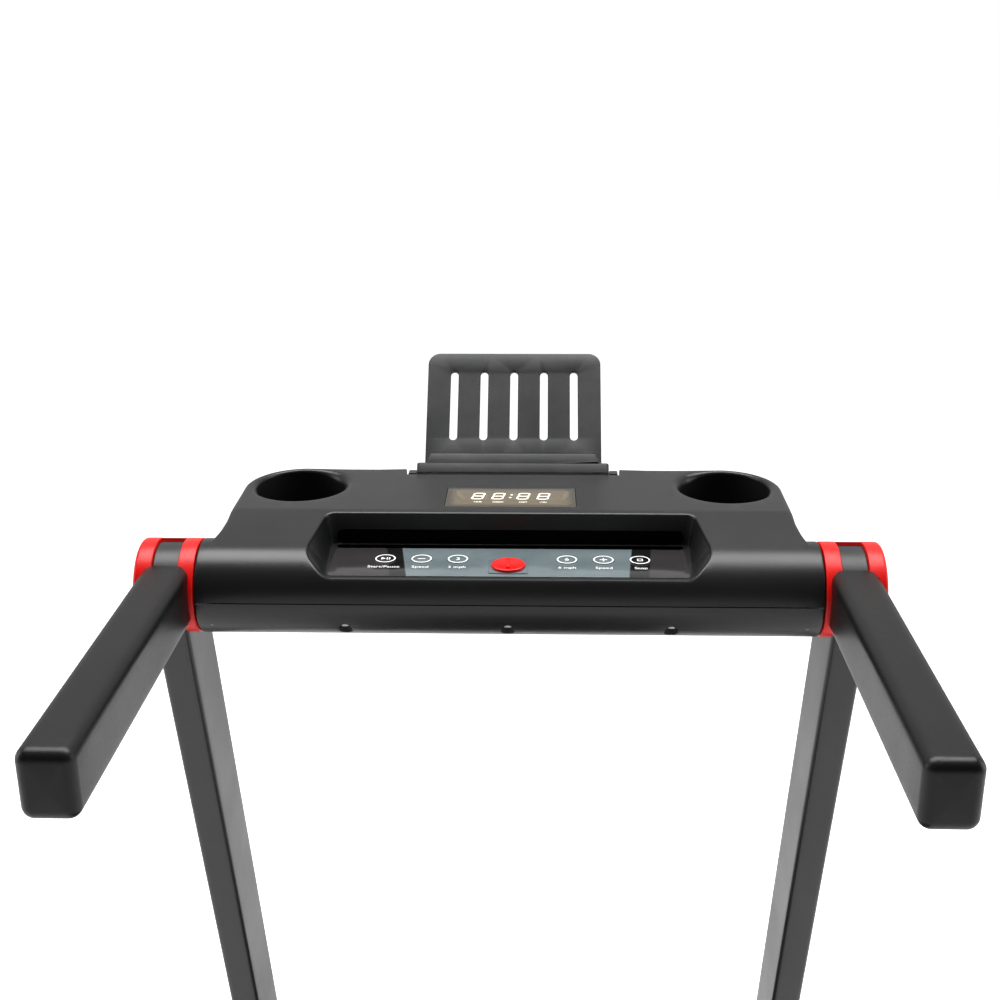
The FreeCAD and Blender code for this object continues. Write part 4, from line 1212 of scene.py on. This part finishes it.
            foot_row = rim[-1] - (0, 0, 1) * np.array(depth)
            foot_row[:, 2] = np.maximum(foot_row[:, 2], self.floor_level - 0.6)
            shell.grid(np.concatenate([rim, foot_row[None]]), True)
        return shell

    def cup_well(self, shell: Surface, top: Array, centre: Spot) -> None:
        """Add a well's wall, its rounded foot and its floor below the rim's last row, all in the near-black painted
        shade.
        """
        count, foot = len(top), 5.0
        wall = np.stack([top, raised(top[:, :2], self.cup_floor + foot)])
        angles = np.linspace(0, math.pi / 2, 6)
        bend = [raised(circle(self.cup_radius - foot * (1 - math.cos(a)), count, centre),
                       self.cup_floor + foot * (1 - math.sin(a)))
                for a in angles]
        shell.grid(wall, True, 1)
        shell.grid(np.array(bend), True, 1)
        shell.lid(bend[-1], 1)

    def notch_floor(self, shell: Surface) -> None:
        """Add the notch's floor and the back wall below it, and the two lugs that carry the tablet rest's pin."""
        half, front, floor = self.notch
        x = np.linspace(-half - 2.5, half + 2.5, 9)
        shell.grid(np.stack([raised(np.column_stack([x, np.full(9, y)]), z)
                             for y, z in ((front, floor), (self.back, floor), (self.back, self.split))]))
        for middle in (-98.5, 98.5):
            tip = arc(5, 90, -90, 9, (181, 41))
            side = np.vstack([[(172, 36)], [(172, 46)], tip, [(176, 36)]])
            rows = [np.column_stack([np.full(len(side), middle + dx), *((side - (177, 41)) * k + (177, 41)).T])
                    for dx, k in ((-4, 0.9), (-3.5, 1.0), (3.5, 1.0), (4, 0.9))]
            shell.grid(np.array(rows), True)
            shell.lid(rows[0])
            shell.lid(rows[-1])

    def lower_shell(self) -> Surface:
        """The lower shell with its screw recesses and its wall up to the split."""
        skin = self.lower_skin()
        slope = math.degrees(math.atan2(self.chin + self.nose, self.back))
        leave = self.nose * math.cos(math.radians(270 + slope))
        edge = self.edge(skin, leave, False, 3.5)
        recesses = [opening(circle(5.5, 40, (x, self.screw_y)), 0.7) for x in self.screws[1:-1]]
        run_leave = float(skin.run_at(leave))
        rows = np.concatenate([np.linspace(0, run_leave, 24)[1:], np.linspace(run_leave, skin.run[-1] - 4, 14)[1:]])
        shell = Surface()
        shell.add(*self.sheet(skin, edge, recesses, rows))
        bend = edge.rows(skin, 1)
        top = raised(edge.wall, 0.1)
        shell.grid(np.concatenate([bend, top[None], raised(edge.wall + edge.inward * 2.4, 0.1)[None]]))
        for recess in recesses:
            rim = recess.rows(skin, 1, 4)
            head = raised(recess.wall, -20.0)
            # The recesses take coat 1, the near-black painted shade.
            shell.grid(np.concatenate([rim, head[None]]), True, 1)
            shell.lid(head, 1)
        return shell

    def sleeve(self, side: Side, first: float, last: float, leave: float) -> Surface:
        """One nose end, half round: it stands out past the body's side and has a softened outer edge.

        Args:
            side: Which end.
            first: The angle at which it starts.
            last: The angle at which it ends, at the front split.
            leave: The angle at which the body's skin leaves the nose.

        Returns:
            The surface.
        """
        inner = self.half + self.flare
        bend = arc(1.3, 90, 0, 5, (self.nose_half - 1.3, self.nose - 1.3))
        profile = np.vstack([[(inner, self.nose)], bend, [(self.nose_half, 13.0)], [(self.nose_half - 3, 12.6)]])
        profile[:, 0] *= side.value
        surface = Surface()
        surface.turned_about_x(profile, leave, last, 18)
        surface.turned_about_x(profile, first, leave, 22)
        return surface

    def tray_insert(self) -> Surface:
        """The tray: sloping walls from the rim to the floor, and the phone slot behind the keys; the slot and a flat
        strip on the back wall take the painted shade.
        """
        skin = self.upper_skin()
        top = self.tray_outline(self.tray, self.tray_bends)
        foot = self.tray_outline(self.tray_floor, (4, 3, 14, 5))
        upper = raised(top, np.maximum(skin.height(top[:, 1]) - self.tray_soft, self.floor_level + 0.9))
        lower = raised(foot, self.floor_level)
        shares = np.array([0.0, 0.25, 0.5, 0.75, 0.93, 1.0])[:, None, None]
        walls = upper * (1 - shares) + lower * shares
        walls[-2, :, 2] = self.floor_level + 0.5
        tray = Surface()
        tray.grid(walls, True)
        back_floor = np.array([(-155.5, 39.7), (155.5, 39.7), (155.5, 49.2), (-155.5, 49.2)])
        slot = softened_outline(back_floor.tolist(), [4.6, 4.6, 2.0, 2.0], 7, 12)
        way = outward(slot)
        angles = np.linspace(0, math.pi / 2, 4)
        bend = [raised(slot + way * 0.8 * (1 - math.sin(a)), self.floor_level - 0.8 * (1 - math.cos(a)))
                for a in angles]
        tray.grid(np.array(bend), True)
        # The slot's walls and floor take coat 1, the near-black painted shade.
        tray.grid(np.array([bend[-1], raised(slot, 8.2)]), True, 1)
        points, triangles = filled([slot])
        tray.add(raised(points, 8.2), triangles, 1)
        # A flat strip in the slot's near-black painted shade, laid on the lower back wall as a painted shadow.
        painted_shadow_strip, faces = filled([rounded_box(156.0, 6.4, 6.0, (0, self.floor_level + 7.2), 6, 12)])
        lean = (top[:, 1].max() - foot[:, 1].max()) / (upper[:, 2].max() - self.floor_level)
        across = foot[:, 1].max() + (painted_shadow_strip[:, 1] - self.floor_level) * lean - 0.3
        tray.add(np.column_stack([painted_shadow_strip[:, 0], across, painted_shadow_strip[:, 1]]), faces, 1)
        rim = bend[0][:, :2]
        points, triangles = filled([foot, rim])
        tray.add(raised(points, self.floor_level), triangles)
        return tray

    def build(self, shop: Workshop) -> None:
        """Build the shells, the nose's ends and the tray, and dress what lies behind them."""
        shop.put(self.upper_shell(), "console_upper_shell_skin", "console", [CONSOLE, RECESS_PAINTED_SHADE],
                 "console_upper_shell", sharp=30)
        shop.put(self.lower_shell(), "console_lower_shell_skin", "console", [CONSOLE, RECESS_PAINTED_SHADE],
                 "console_lower_shell", outside=(0, 0, -1), sharp=30)
        for side in Side:
            for level, angles in (("upper", (1.1, 178.89, 98)), ("lower", (358.9, 181.1, 279.5))):
                shop.put(self.sleeve(side, *angles), f"nose_end_{level}_{side.word}", "console", [CONSOLE],
                         outside=(side.value, 0, 0))
        shop.put(self.tray_insert(), "tray_insert_skin", "console", [TRAY, SLOT_PAINTED_SHADE], "tray_insert")
        for node, finish in (("console_boards", CIRCUIT), ("shell_screws", STEEL), ("axle_clamps", FRAME_BLACK)):
            shop.dress(node, finish)
        shop.soften("console_axle", STEEL, 0)
        shop.soften("holder_pin", STEEL, 0)


# ---------------------------------------------------------------- keys, window and safety key


class Mark(Enum):
    """What is printed on a key."""

    PLAY_PAUSE = "play_pause"
    MINUS = "minus"
    THREE = "3"
    SIX = "6"
    PLUS = "plus"
    SQUARE = "square"


@dataclass(frozen=True)
class Key:
    """One membrane key: its CAD node and body, its place along X, its mark and the word below it."""

    node: str
    body: str
    x: float
    mark: Mark
    word: str


@dataclass(frozen=True)
class ControlPanel:
    """The glossy sheet with its six keys, and the safety key on its seat."""

    level: float = 20.0
    thick: float = 0.6
    half: float = 155.5
    front: float = -25.5
    back: float = 37.7
    key_radius: float = 9.1
    key_y: float = 12.0
    puck_y: float = -5.0
    puck_radius: float = 14.6
    seat_thick: float = 0.8
    ink: float = 0.05
    keys: tuple[Key, ...] = (
        Key("start_pause_key", "start_pause_button", -108.5, Mark.PLAY_PAUSE, "Start/Pause"),
        Key("slower_key", "slower_button", -76.6, Mark.MINUS, "Speed"),
        Key("walk_key", "walk_button", -44.7, Mark.THREE, "3 mph"),
        Key("jog_key", "jog_button", 50.9, Mark.SIX, "6 mph"),
        Key("faster_key", "faster_button", 82.8, Mark.PLUS, "Speed"),
        Key("stop_key", "stop_button", 114.7, Mark.SQUARE, "Stop"),
    )

    @property
    def top(self) -> float:
        """The sheet's face."""
        return self.level + self.thick

    def sheet(self) -> Surface:
        """The sheet, with a hole for each key."""
        middle = (0, (self.front + self.back) / 2)
        outer = rounded_box(self.half, (self.back - self.front) / 2, 4, middle, 6, 10)
        holes = [circle(self.key_radius + 0.25, 48, (key.x, self.key_y)) for key in self.keys]
        return slab(Surface(), [outer, *holes], self.level, self.top, 0.25)

    def printed(self, surface: Surface, loops: list[Array], level: float) -> None:
        """Add flat printed shapes to a surface, a hair above the level they are printed on."""
        points, triangles = filled(loops)
        surface.add(raised(points, level + self.ink), triangles)

    def mark(self, key: Key) -> Surface:
        """A key's printed ring and its mark."""
        surface = Surface()
        level = self.top + 0.6
        at = np.array([key.x, self.key_y])
        self.printed(surface, [circle(8.9, 56, tuple(at)), circle(7.75, 56, tuple(at))], level)
        bar = rounded_box(3.2, 0.55, 0.3, tuple(at), 4)
        if key.mark is Mark.PLAY_PAUSE:
            self.printed(surface, [np.array([(-3.6, -2.4), (0.4, 0), (-3.6, 2.4)]) + at], level)
            for shift in (1.6, 3.6):
                self.printed(surface, [rounded_box(0.5, 2.4, 0.2, tuple(at + (shift, 0)), 3)], level)
        elif key.mark is Mark.MINUS:
            self.printed(surface, [bar], level)
        elif key.mark is Mark.PLUS:
            arm, thin = 3.2, 0.55
            cross = [(arm, -thin), (arm, thin), (thin, thin), (thin, arm), (-thin, arm), (-thin, thin),
                     (-arm, thin), (-arm, -thin), (-thin, -thin), (-thin, -arm), (thin, -arm), (thin, -thin)]
            self.printed(surface, [np.array(cross) + at], level)
        elif key.mark is Mark.SQUARE:
            frame = [rounded_box(half, half, radius, tuple(at), 4) for half, radius in ((2.5, 0.7), (1.6, 0.4))]
            self.printed(surface, frame, level)
        else:
            surface.add(*lettering(key.mark.value, 8.4, tuple(at), level + self.ink))
        return surface

    def safety_key(self) -> Surface:
        """The pull key: a disc with a rolled edge and a thin fin across it, front to back."""
        seat = self.top + self.seat_thick
        bend = arc(1.0, 0, 90, 5, (self.puck_radius - 1.0, 1.6))
        r = self.puck_radius
        disc = np.vstack([[(r - 0.5, 0.0), (r, 0.4)], bend, [(r - 2.2, 2.6), (r - 3.2, 2.3)]])
        surface = Surface()
        rows = [raised(circle(r, 72, (0, self.puck_y)), seat + z) for r, z in disc]
        surface.grid(np.array(rows), True)
        surface.lid(rows[-1])
        fin = rounded_box(1.5, 10.4, 1.4, (0, self.puck_y), 5, 8)
        return slab(surface, [fin], seat + 1.8, seat + 4.3, 0.8, back=False)

    def build(self, shop: Workshop) -> None:
        """Build the sheet, the keys with their marks, the words and the safety key."""
        shop.put(self.sheet(), "control_sheet", "console", [SHEET], "control_overlay")
        words = Surface()
        for key in self.keys:
            outline = circle(self.key_radius, 64, (key.x, self.key_y))
            cap = slab(Surface(), [outline], self.level - 2.4, self.top + 0.6, 0.35)
            shop.put(cap, f"{key.node}_cap", key.body, [SHEET], key.node)
            shop.put(self.mark(key), f"{key.node}_mark", key.body, [WHITE_INK_PAINTED_GLOW])
            words.add(*lettering(key.word, 6.2, (key.x, self.puck_y - 0.4), self.top + self.ink))
        shop.put(words, "key_words", "console", [WHITE_INK_PAINTED_GLOW])
        seat = rounded_box(17, 16, 2.0, (0, self.puck_y + 1), 5, 2)
        pad = slab(Surface(), [seat], self.top, self.top + self.seat_thick, 0.3)
        shop.put(pad, "key_seat_pad", "console", [SEAT], "key_seat")
        shop.put(self.safety_key(), "safety_key_disc", "pull_key", [KEY_RED], "safety_key")


@dataclass(frozen=True)
class Display:
    """The tinted window with four slanted seven-bar digits and their small legends."""

    half: float = 59.7
    deep: float = 24.7
    middle: float = 93.0
    level: float = 49.9
    digit: Spot = (11.0, 17.0)
    pitch: float = 18.6
    slant: float = 0.16
    legends: tuple[str, ...] = ("TIME", "SPEED", "DIST", "CAL")

    def bars(self) -> list[Array]:
        """The seven bars of an 8, about its middle: three across and four upright, each with pointed ends."""
        wide, tall = self.digit
        half_bar, thick, gap = wide / 2 - 0.8, 0.74, 0.4
        across = np.array([(half_bar - gap, 0), (half_bar - gap - thick, thick), (-half_bar + gap + thick, thick),
                           (-half_bar + gap, 0), (-half_bar + gap + thick, -thick), (half_bar - gap - thick, -thick)])
        reach = tall / 4 - 0.5
        upright = np.array([(0, reach), (-thick, reach - thick), (-thick, thick - reach), (0, -reach),
                            (thick, thick - reach), (thick, reach - thick)])
        flat = [across + (0, dy) for dy in (-tall / 2 + thick, 0, tall / 2 - thick)]
        tall_bars = [upright + (dx, dy) for dx in (-half_bar, half_bar) for dy in (-tall / 4 + 0.4, tall / 4 - 0.4)]
        return flat + tall_bars

    def lit(self) -> Surface:
        """Every digit's bars, the colon and the legends, sheared by x + slant y."""
        surface = Surface()
        centre = np.array([0, self.middle + 2.5])
        for place in (-1.62, -0.62, 0.62, 1.62):
            for bar in self.bars():
                shape = bar + (place * self.pitch, 0)
                shape = shape + np.column_stack([shape[:, 1] * self.slant, 0 * shape[:, 1]]) + centre
                points, triangles = filled([shape])
                surface.add(raised(points, self.level + 0.04), triangles)
        for dy in (-3.6, 3.6):
            dot = circle(1.1, 16, (centre[0] + dy * self.slant, centre[1] + dy))
            points, triangles = filled([dot])
            surface.add(raised(points, self.level + 0.04), triangles)
        for word, place in zip(self.legends, (-1.62, -0.62, 0.62, 1.62)):
            surface.add(*lettering(word, 3.8, (place * self.pitch, self.middle - 13.5), self.level + 0.04))
        return surface

    def build(self, shop: Workshop) -> None:
        """Build the window and what shows in it."""
        pane = rounded_box(self.half, self.deep, 1.8, (0, self.middle), 5, 4)
        window = slab(Surface(), [pane], self.level - 2.2, self.level - 0.15, 0.35)
        shop.put(window, "display_pane", "console", [PANE], "display_window")
        shop.put(self.lit(), "display_digits", "console", [LIT_DIGIT])


# ---------------------------------------------------------------- handles and pivot housings


@dataclass(frozen=True)
class HandleCover:
    """A handle's moulded cover: a rounded bar from the pivot housing towards the user."""

    inner: float = 272.0
    wide: float = 41.0
    low: float = -23.5
    top: float = 29.7
    end: float = -341.0
    corner: float = 9.5
    tip: float = 9.0
    saddle: float = 42.0

    def surface(self, side: Side) -> Surface:
        """The bar: a rounded section carried along -Y, from a root at y = -sqrt(saddle^2 - z^2) to a rounded tip."""
        centre = (side.value * (self.inner + self.wide / 2), (self.low + self.top) / 2)
        section = rounded_box(self.wide / 2, (self.top - self.low) / 2, self.corner, centre, 9, 6)
        way = outward(section)
        rows = [np.column_stack([root[:, 0], -np.sqrt(self.saddle**2 - root[:, 1] ** 2), root[:, 1]])
                for root in (section - way * 2.0, section)]
        rows += [np.column_stack([section[:, 0], np.full(len(section), y), section[:, 1]])
                 for y in np.linspace(-48, self.end + self.tip, 9)]
        for a in np.linspace(0, math.pi / 2, 8)[1:]:
            drawn_in = section - way * self.tip * (1 - math.cos(a))
            level = np.full(len(section), self.end + self.tip * (1 - math.sin(a)))
            rows.append(np.column_stack([drawn_in[:, 0], level, drawn_in[:, 1]]))
        bar = Surface()
        bar.grid(np.array(rows), True)
        return bar.lid(rows[-1])

    def build(self, shop: Workshop) -> None:
        """Build both covers, and soften the arms and hubs inside them."""
        for side in Side:
            node = f"handle_cover_{side.word}"
            shop.put(self.surface(side), f"{node}_skin", "console", [GRIP], node, outside=(0, -1, 0), sharp=30)
            shop.soften(f"handle_arm_{side.word}", FRAME_BLACK, 0.8, 30)


@dataclass(frozen=True)
class PivotHousing:
    """A red housing: a ring each side of the handle's hub, joined round the back of the slot between them."""

    radius: float = 41.3
    inner: float = 268.0
    slot_in: float = 282.2
    slot_out: float = 304.9
    outer: float = 320.0
    bore: float = 15.0
    cavity: float = 38.3
    closed: Spot = (204.0, 432.5)

    def surface(self, side: Side) -> Surface:
        """The rings and the wall behind the slot, each a section turned about X."""
        r, soft = self.radius, 0.9
        inside_ring = np.vstack([[(self.inner + 0.2, self.bore), (self.inner + 0.2, 30.0)],
                                 arc(soft, 180, 90, 5, (self.inner + 0.2 + soft, r - soft)),
                                 arc(soft, 90, 0, 5, (self.slot_in - soft, r - soft)),
                                 [(self.slot_in, self.cavity), (self.slot_in, self.bore)]])
        face = self.outer
        bevel = arc(3.4, 90, 12, 8, (face - 3.4, r - 3.4))
        outside_ring = np.vstack([[(self.slot_out, self.bore), (self.slot_out, self.cavity)],
                                  arc(soft, 180, 90, 5, (self.slot_out + soft, r - soft)), bevel,
                                  [(face, r - 5.2), (face, 20.5), (face - 1.2, 19.5), (face - 1.2, self.bore)]])
        surface = Surface()
        for profile in (inside_ring, outside_ring):
            surface.turned_about_x(profile * (side.value, 1), 0, 360, 120)
        near, far = self.slot_in - 0.5, self.slot_out + 0.5
        corners = [(near, r - 0.25), (far, r - 0.25), (far, self.cavity), (near, self.cavity), (near, r - 0.25)]
        back = np.array(corners) * (side.value, 1)
        surface.turned_about_x(back, *self.closed, 80)
        for angle in self.closed:
            spot = math.radians(angle)
            cap = np.column_stack([back[:4, 0], back[:4, 1] * math.cos(spot), back[:4, 1] * math.sin(spot)])
            surface.add(cap, [(0, 1, 2, 3)])
        return surface

    def build(self, shop: Workshop) -> None:
        """Build both housings, and soften their bushes."""
        for side in Side:
            node = f"pivot_housing_{side.word}"
            shop.put(self.surface(side), f"{node}_skin", "uprights", [RED], node, outside=(side.value, 0, 0),
                     sharp=32)
        shop.soften("pivot_bushes", NYLON, 0)


@dataclass(frozen=True)
class Upright:
    """A leaning rectangular tube, coped to its housing at the top and capped at the bottom."""

    inner: float = 278.0
    wide: float = 30.0
    deep: float = 70.0
    corner: float = 3.6
    tail: float = 45.0
    cope: float = 41.3
    wall: float = 2.0

    def surface(self, side: Side) -> Surface:
        """A rounded section carried up the lean to z = reach - sqrt(cope^2 - y^2), with a softened lower end."""
        rise, run = TILT[2] - FOLD[2], FOLD[1] - TILT[1]
        reach, lean = math.hypot(rise, run), math.atan2(run, rise)
        centre = (side.value * (self.inner + self.wide / 2), 0.0)
        section = rounded_box(self.wide / 2, self.deep / 2, self.corner, centre, 6, 8)
        way = outward(section)
        inner = section - way * self.wall
        top = [raised(loop, reach - np.sqrt(self.cope**2 - loop[:, 1] ** 2)) for loop in (section, inner)]
        rows = [raised(section - way * inset, -self.tail + 1.5 - rise)
                for inset, rise in ((1.5, 1.5), (0.4, 1.1), (0.0, 0.0))]
        rows += [raised(section, z) for z in np.linspace(0, reach - 60, 12)] + top + [raised(inner, reach - 80)]
        tube = Surface()
        tube.grid(np.array(rows), True)
        tube.lid(rows[0])
        spin = np.array([[1, 0, 0], [0, math.cos(lean), -math.sin(lean)], [0, math.sin(lean), math.cos(lean)]])
        tube.points = [points @ spin.T for points in tube.points]
        return tube

    def build(self, shop: Workshop) -> None:
        """Build both uprights."""
        for side in Side:
            node = f"upright_{side.word}"
            shop.put(self.surface(side), f"{node}_skin", "uprights", [UPRIGHT], node, origin=FOLD,
                     outside=(side.value, 0, 0), sharp=40)


@dataclass(frozen=True)
class TabletRest:
    """The tablet rest: a slotted back plate, a ledge with a low lip, and the barrel it turns on."""

    lean: float = 40.0
    foot: Spot = (183.0, 46.4)
    pin: Spot = (181.0, 41.0)
    half: float = 93.5
    tall: float = 125.0

    def surface(self) -> Surface:
        """Plates drawn upright about the foot, leaned back together: (y cos a + z sin a, z cos a - y sin a)."""
        rest = Surface()
        facing = np.array([[1, 0, 0], [0, 0, -1], [0, 1, 0]])
        plate_corners = [(87, -9), (87, self.tall), (-87, self.tall), (-87, -9)]
        plate_loops = [softened_outline(plate_corners, [1, 12, 12, 1], 8, 3)]
        plate_loops += [rounded_box(3.9, 37.4, 3.8, (x + 4, 67.5), 6, 3) for x in (-64, -34, -4, 26, 56)]
        plate = slab(Surface(), plate_loops, 0, 4, 0.9)
        lip_corners = [(85.5, -2), (80.5, 9.6), (-80.5, 9.6), (-85.5, -2)]
        lip = slab(Surface(), [softened_outline(lip_corners, [0.5, 2.5, 2.5, 0.5], 6, 2)], 0.2, 4, 1.2)
        for piece, out in ((plate, 0.0), (lip, -15.0)):
            for points in piece.points:
                points[:] = points @ facing.T + (0, out, 0)
        ledge_corners = [(self.half, -19), (self.half, 0), (-self.half, 0), (-self.half, -19)]
        ledge = slab(Surface(), [softened_outline(ledge_corners, [3, 1, 1, 3], 6, 2)], -10, 0, 1.1)
        for piece in (plate, lip, ledge):
            rest.add(np.vstack(piece.points), piece.faces)
        angle = math.radians(self.lean)
        y, z = self.pin[0] - self.foot[0], self.pin[1] - self.foot[1]
        pin = np.array([0, y * math.cos(angle) - z * math.sin(angle), y * math.sin(angle) + z * math.cos(angle)])
        barrel = Surface()
        one_end = [(-self.half, 2.3), (-self.half, 4.0), (-self.half + 0.5, 4.5)]
        ends = np.array([*one_end, *[(-across, level) for across, level in one_end[::-1]]])
        barrel.turned_about_x(ends, 0, 360, 40)
        rest.add(barrel.points[0] + pin, barrel.faces)
        spin = np.array([[1, 0, 0], [0, math.cos(angle), math.sin(angle)], [0, -math.sin(angle), math.cos(angle)]])
        rest.points = [points @ spin.T for points in rest.points]
        return rest

    def build(self, shop: Workshop) -> None:
        """Build the rest."""
        origin = (0, TILT[1] + self.foot[0], TILT[2] + self.foot[1])
        shop.put(self.surface(), "tablet_rest_skin", "tablet_rest", [HOLDER], "tablet_holder", origin=origin)


# ---------------------------------------------------------------- base


@dataclass(frozen=True)
class Carried:
    """A CAD node whose shape is right: its finish, and how wide its edges are rounded."""

    node: str
    finish: Finish
    width: float = 0.0
    sharp: float = 35.0


def pair(stem: str, finish: Finish, width: float, sharp: float = 35.0) -> list[Carried]:
    """The left and the right one of two alike nodes."""
    return [Carried(f"{stem}_{side.word}", finish, width, sharp) for side in Side]


@dataclass(frozen=True)
class Base:
    """The deck, its covers, the drive and the fold pivots, whose shapes come from the CAD model."""

    pieces: tuple[Carried, ...] = (
        *pair("side_rail", FRAME_BLACK, 1.6), Carried("base_cross_tube", FRAME_BLACK, 1.8),
        Carried("rubber_feet", RUBBER, 1.2), *pair("foot_rail", TREAD, 1.3), *pair("rear_cap", BLACK, 1.0, 50),
        Carried("motor_hood", BLACK, 1.4, 20), Carried("inlet_panel", BLACK, 0.4),
        Carried("power_rocker", KEY_RED, 0.5, 40), *pair("hinge_bracket", FRAME_BLACK, 0.8),
        *pair("lock_knob", BLACK, 1.0, 50), *pair("front_wheel", NYLON, 0.8),
        Carried("wheel_forks", FRAME_BLACK, 0.4), Carried("pivot_bolts", STEEL, 0.5),
        Carried("tension_bolts", STEEL, 0.4), Carried("walking_belt", BELT), Carried("front_roller", STEEL, 0.4),
        Carried("rear_roller", STEEL, 0.4), Carried("roller_axles", STEEL, 0.3),
        Carried("motor_can", FRAME_BLACK, 0.5), Carried("motor_rotor", STEEL, 0.4),
        Carried("drive_belt", DRIVE_BELT), Carried("deck_dampers", RUBBER, 0.8),
    )
    plain: tuple[Carried, ...] = (
        Carried("deck_board", BOARD), Carried("deck_cross_members", FRAME_BLACK), Carried("motor_pan", FRAME_BLACK),
        Carried("controller", CIRCUIT),
    )

    def build(self, shop: Workshop) -> None:
        """Soften what shows and dress what lies inside."""
        for carried in self.pieces:
            shop.soften(carried.node, carried.finish, carried.width, carried.sharp)
        for carried in self.plain:
            shop.dress(carried.node, carried.finish)


# ---------------------------------------------------------------- stage


@dataclass(frozen=True)
class Lamp:
    """A soft rectangular light, aimed at the console."""

    name: str
    place: Place
    size: Spot
    power: float
    aim: Place = (0.0, 0.2, 1.0)

    def build(self) -> None:
        """Hang the light, its -Z axis towards its aim."""
        light = bpy.data.lights.new(self.name, "AREA")
        light.shape, light.size, light.size_y, light.energy = "RECTANGLE", *self.size, self.power
        lamp = bpy.data.objects.new(self.name, light)
        lamp.location = self.place
        lamp.rotation_euler = (Vector(self.aim) - Vector(self.place)).to_track_quat("-Z", "Y").to_euler()
        bpy.context.scene.collection.objects.link(lamp)


@dataclass(frozen=True)
class Studio:
    """The floor, the lights and the camera."""

    eye: Place = (0.029868, -0.890582, 1.484172)
    down: float = 0.3469075
    left: float = 0.033063
    roll: float = -0.0062113
    focal: float = 50.0
    sensor: float = 36.0
    sky: Spot = (0.03, 0.62)
    floor_half: float = 60.0
    floor_glow: Spot = (0.33, 0.85)
    backdrop: float = 1.0
    lamps: tuple[Lamp, ...] = (
        Lamp("overhead_light", (0.0, 0.6, 3.3), (3.2, 1.4), 112.0),
        Lamp("left_light", (-2.6, 0.3, 1.5), (1.4, 2.0), 18.0, (0.2, 0.0, 0.8)),
        Lamp("right_light", (2.6, 0.3, 1.5), (1.4, 2.0), 18.0, (-0.2, 0.0, 0.8)),
    )

    def camera(self) -> None:
        """Aim the camera: down from the horizon, a little left, and rolled by a fraction of a degree."""
        data = bpy.data.cameras.new("camera")
        data.lens, data.sensor_width, data.clip_start, data.clip_end = self.focal, self.sensor, 0.01, 200.0
        camera = bpy.data.objects.new("camera", data)
        sine, cosine = math.sin(self.left), math.cos(self.left)
        ahead = Vector((-sine * math.cos(self.down), cosine * math.cos(self.down), -math.sin(self.down)))
        right = Vector((cosine, sine, 0))
        up = right.cross(ahead)
        across = right * math.cos(self.roll) + up * math.sin(self.roll)
        top = up * math.cos(self.roll) - right * math.sin(self.roll)
        camera.matrix_world = Matrix.Translation(self.eye) @ Matrix((across, top, -ahead)).transposed().to_4x4()
        bpy.context.scene.collection.objects.link(camera)
        bpy.context.scene.camera = camera

    def floor(self) -> None:
        """Lay a plain pale floor, far larger than the view."""
        mesh = bpy.data.meshes.new("floor")
        half = self.floor_half
        mesh.from_pydata([(-half, -half, 0), (half, -half, 0), (half, half, 0), (-half, half, 0)], [], [(0, 1, 2, 3)])
        material = bpy.data.materials.new("floor")
        material.use_nodes = True
        shader = material.node_tree.nodes["Principled BSDF"]
        shader.inputs["Base Color"].default_value = (0.92, 0.92, 0.92, 1)
        shader.inputs["Roughness"].default_value = 1.0
        shader.inputs["Specular IOR Level"].default_value = 0.0
        shader.inputs["Emission Color"].default_value = (1, 1, 1, 1)
        graph = Graph(material.node_tree)
        seen = graph.node("ShaderNodeLightPath").outputs["Is Camera Ray"]
        graph.feed(shader.inputs["Emission Strength"], graph.span(seen, 0.0, 1.0, *self.floor_glow))
        mesh.materials.append(material)
        floor = bpy.data.objects.new("floor", mesh)
        bpy.context.scene.collection.objects.link(floor)

    def build(self) -> None:
        """Set the sky's even light, the colour handling, the lamps, the floor and the camera."""
        world = bpy.data.worlds.new("studio")
        world.use_nodes = True
        background = world.node_tree.nodes["Background"]
        background.inputs["Color"].default_value = (1, 1, 1, 1)
        graph = Graph(world.node_tree)
        forward = graph.axes(graph.node("ShaderNodeTexCoord").outputs["Generated"])[1]
        seen = graph.node("ShaderNodeLightPath").outputs["Is Camera Ray"]
        lit = graph.span(forward, 0.0, 0.9, *self.sky)
        graph.feed(background.inputs["Strength"], graph.span(seen, 0.0, 1.0, lit, self.backdrop))
        bpy.context.scene.world = world
        bpy.context.scene.view_settings.view_transform = "Standard"
        for lamp in self.lamps:
            lamp.build()
        self.floor()
        self.camera()


def main() -> None:
    """Build the looks round the frame."""
    logging.basicConfig(level=logging.INFO, format="%(message)s")
    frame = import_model()
    shop = Workshop(frame)
    for kind in (Console, ControlPanel, Display, HandleCover, PivotHousing, Upright, TabletRest, Base):
        LOG.info("building %s", kind.__name__)
        kind().build(shop)
    Studio().build()
    LOG.info("%d pieces", len(shop.made))


if __name__ == "__main__":
    main()
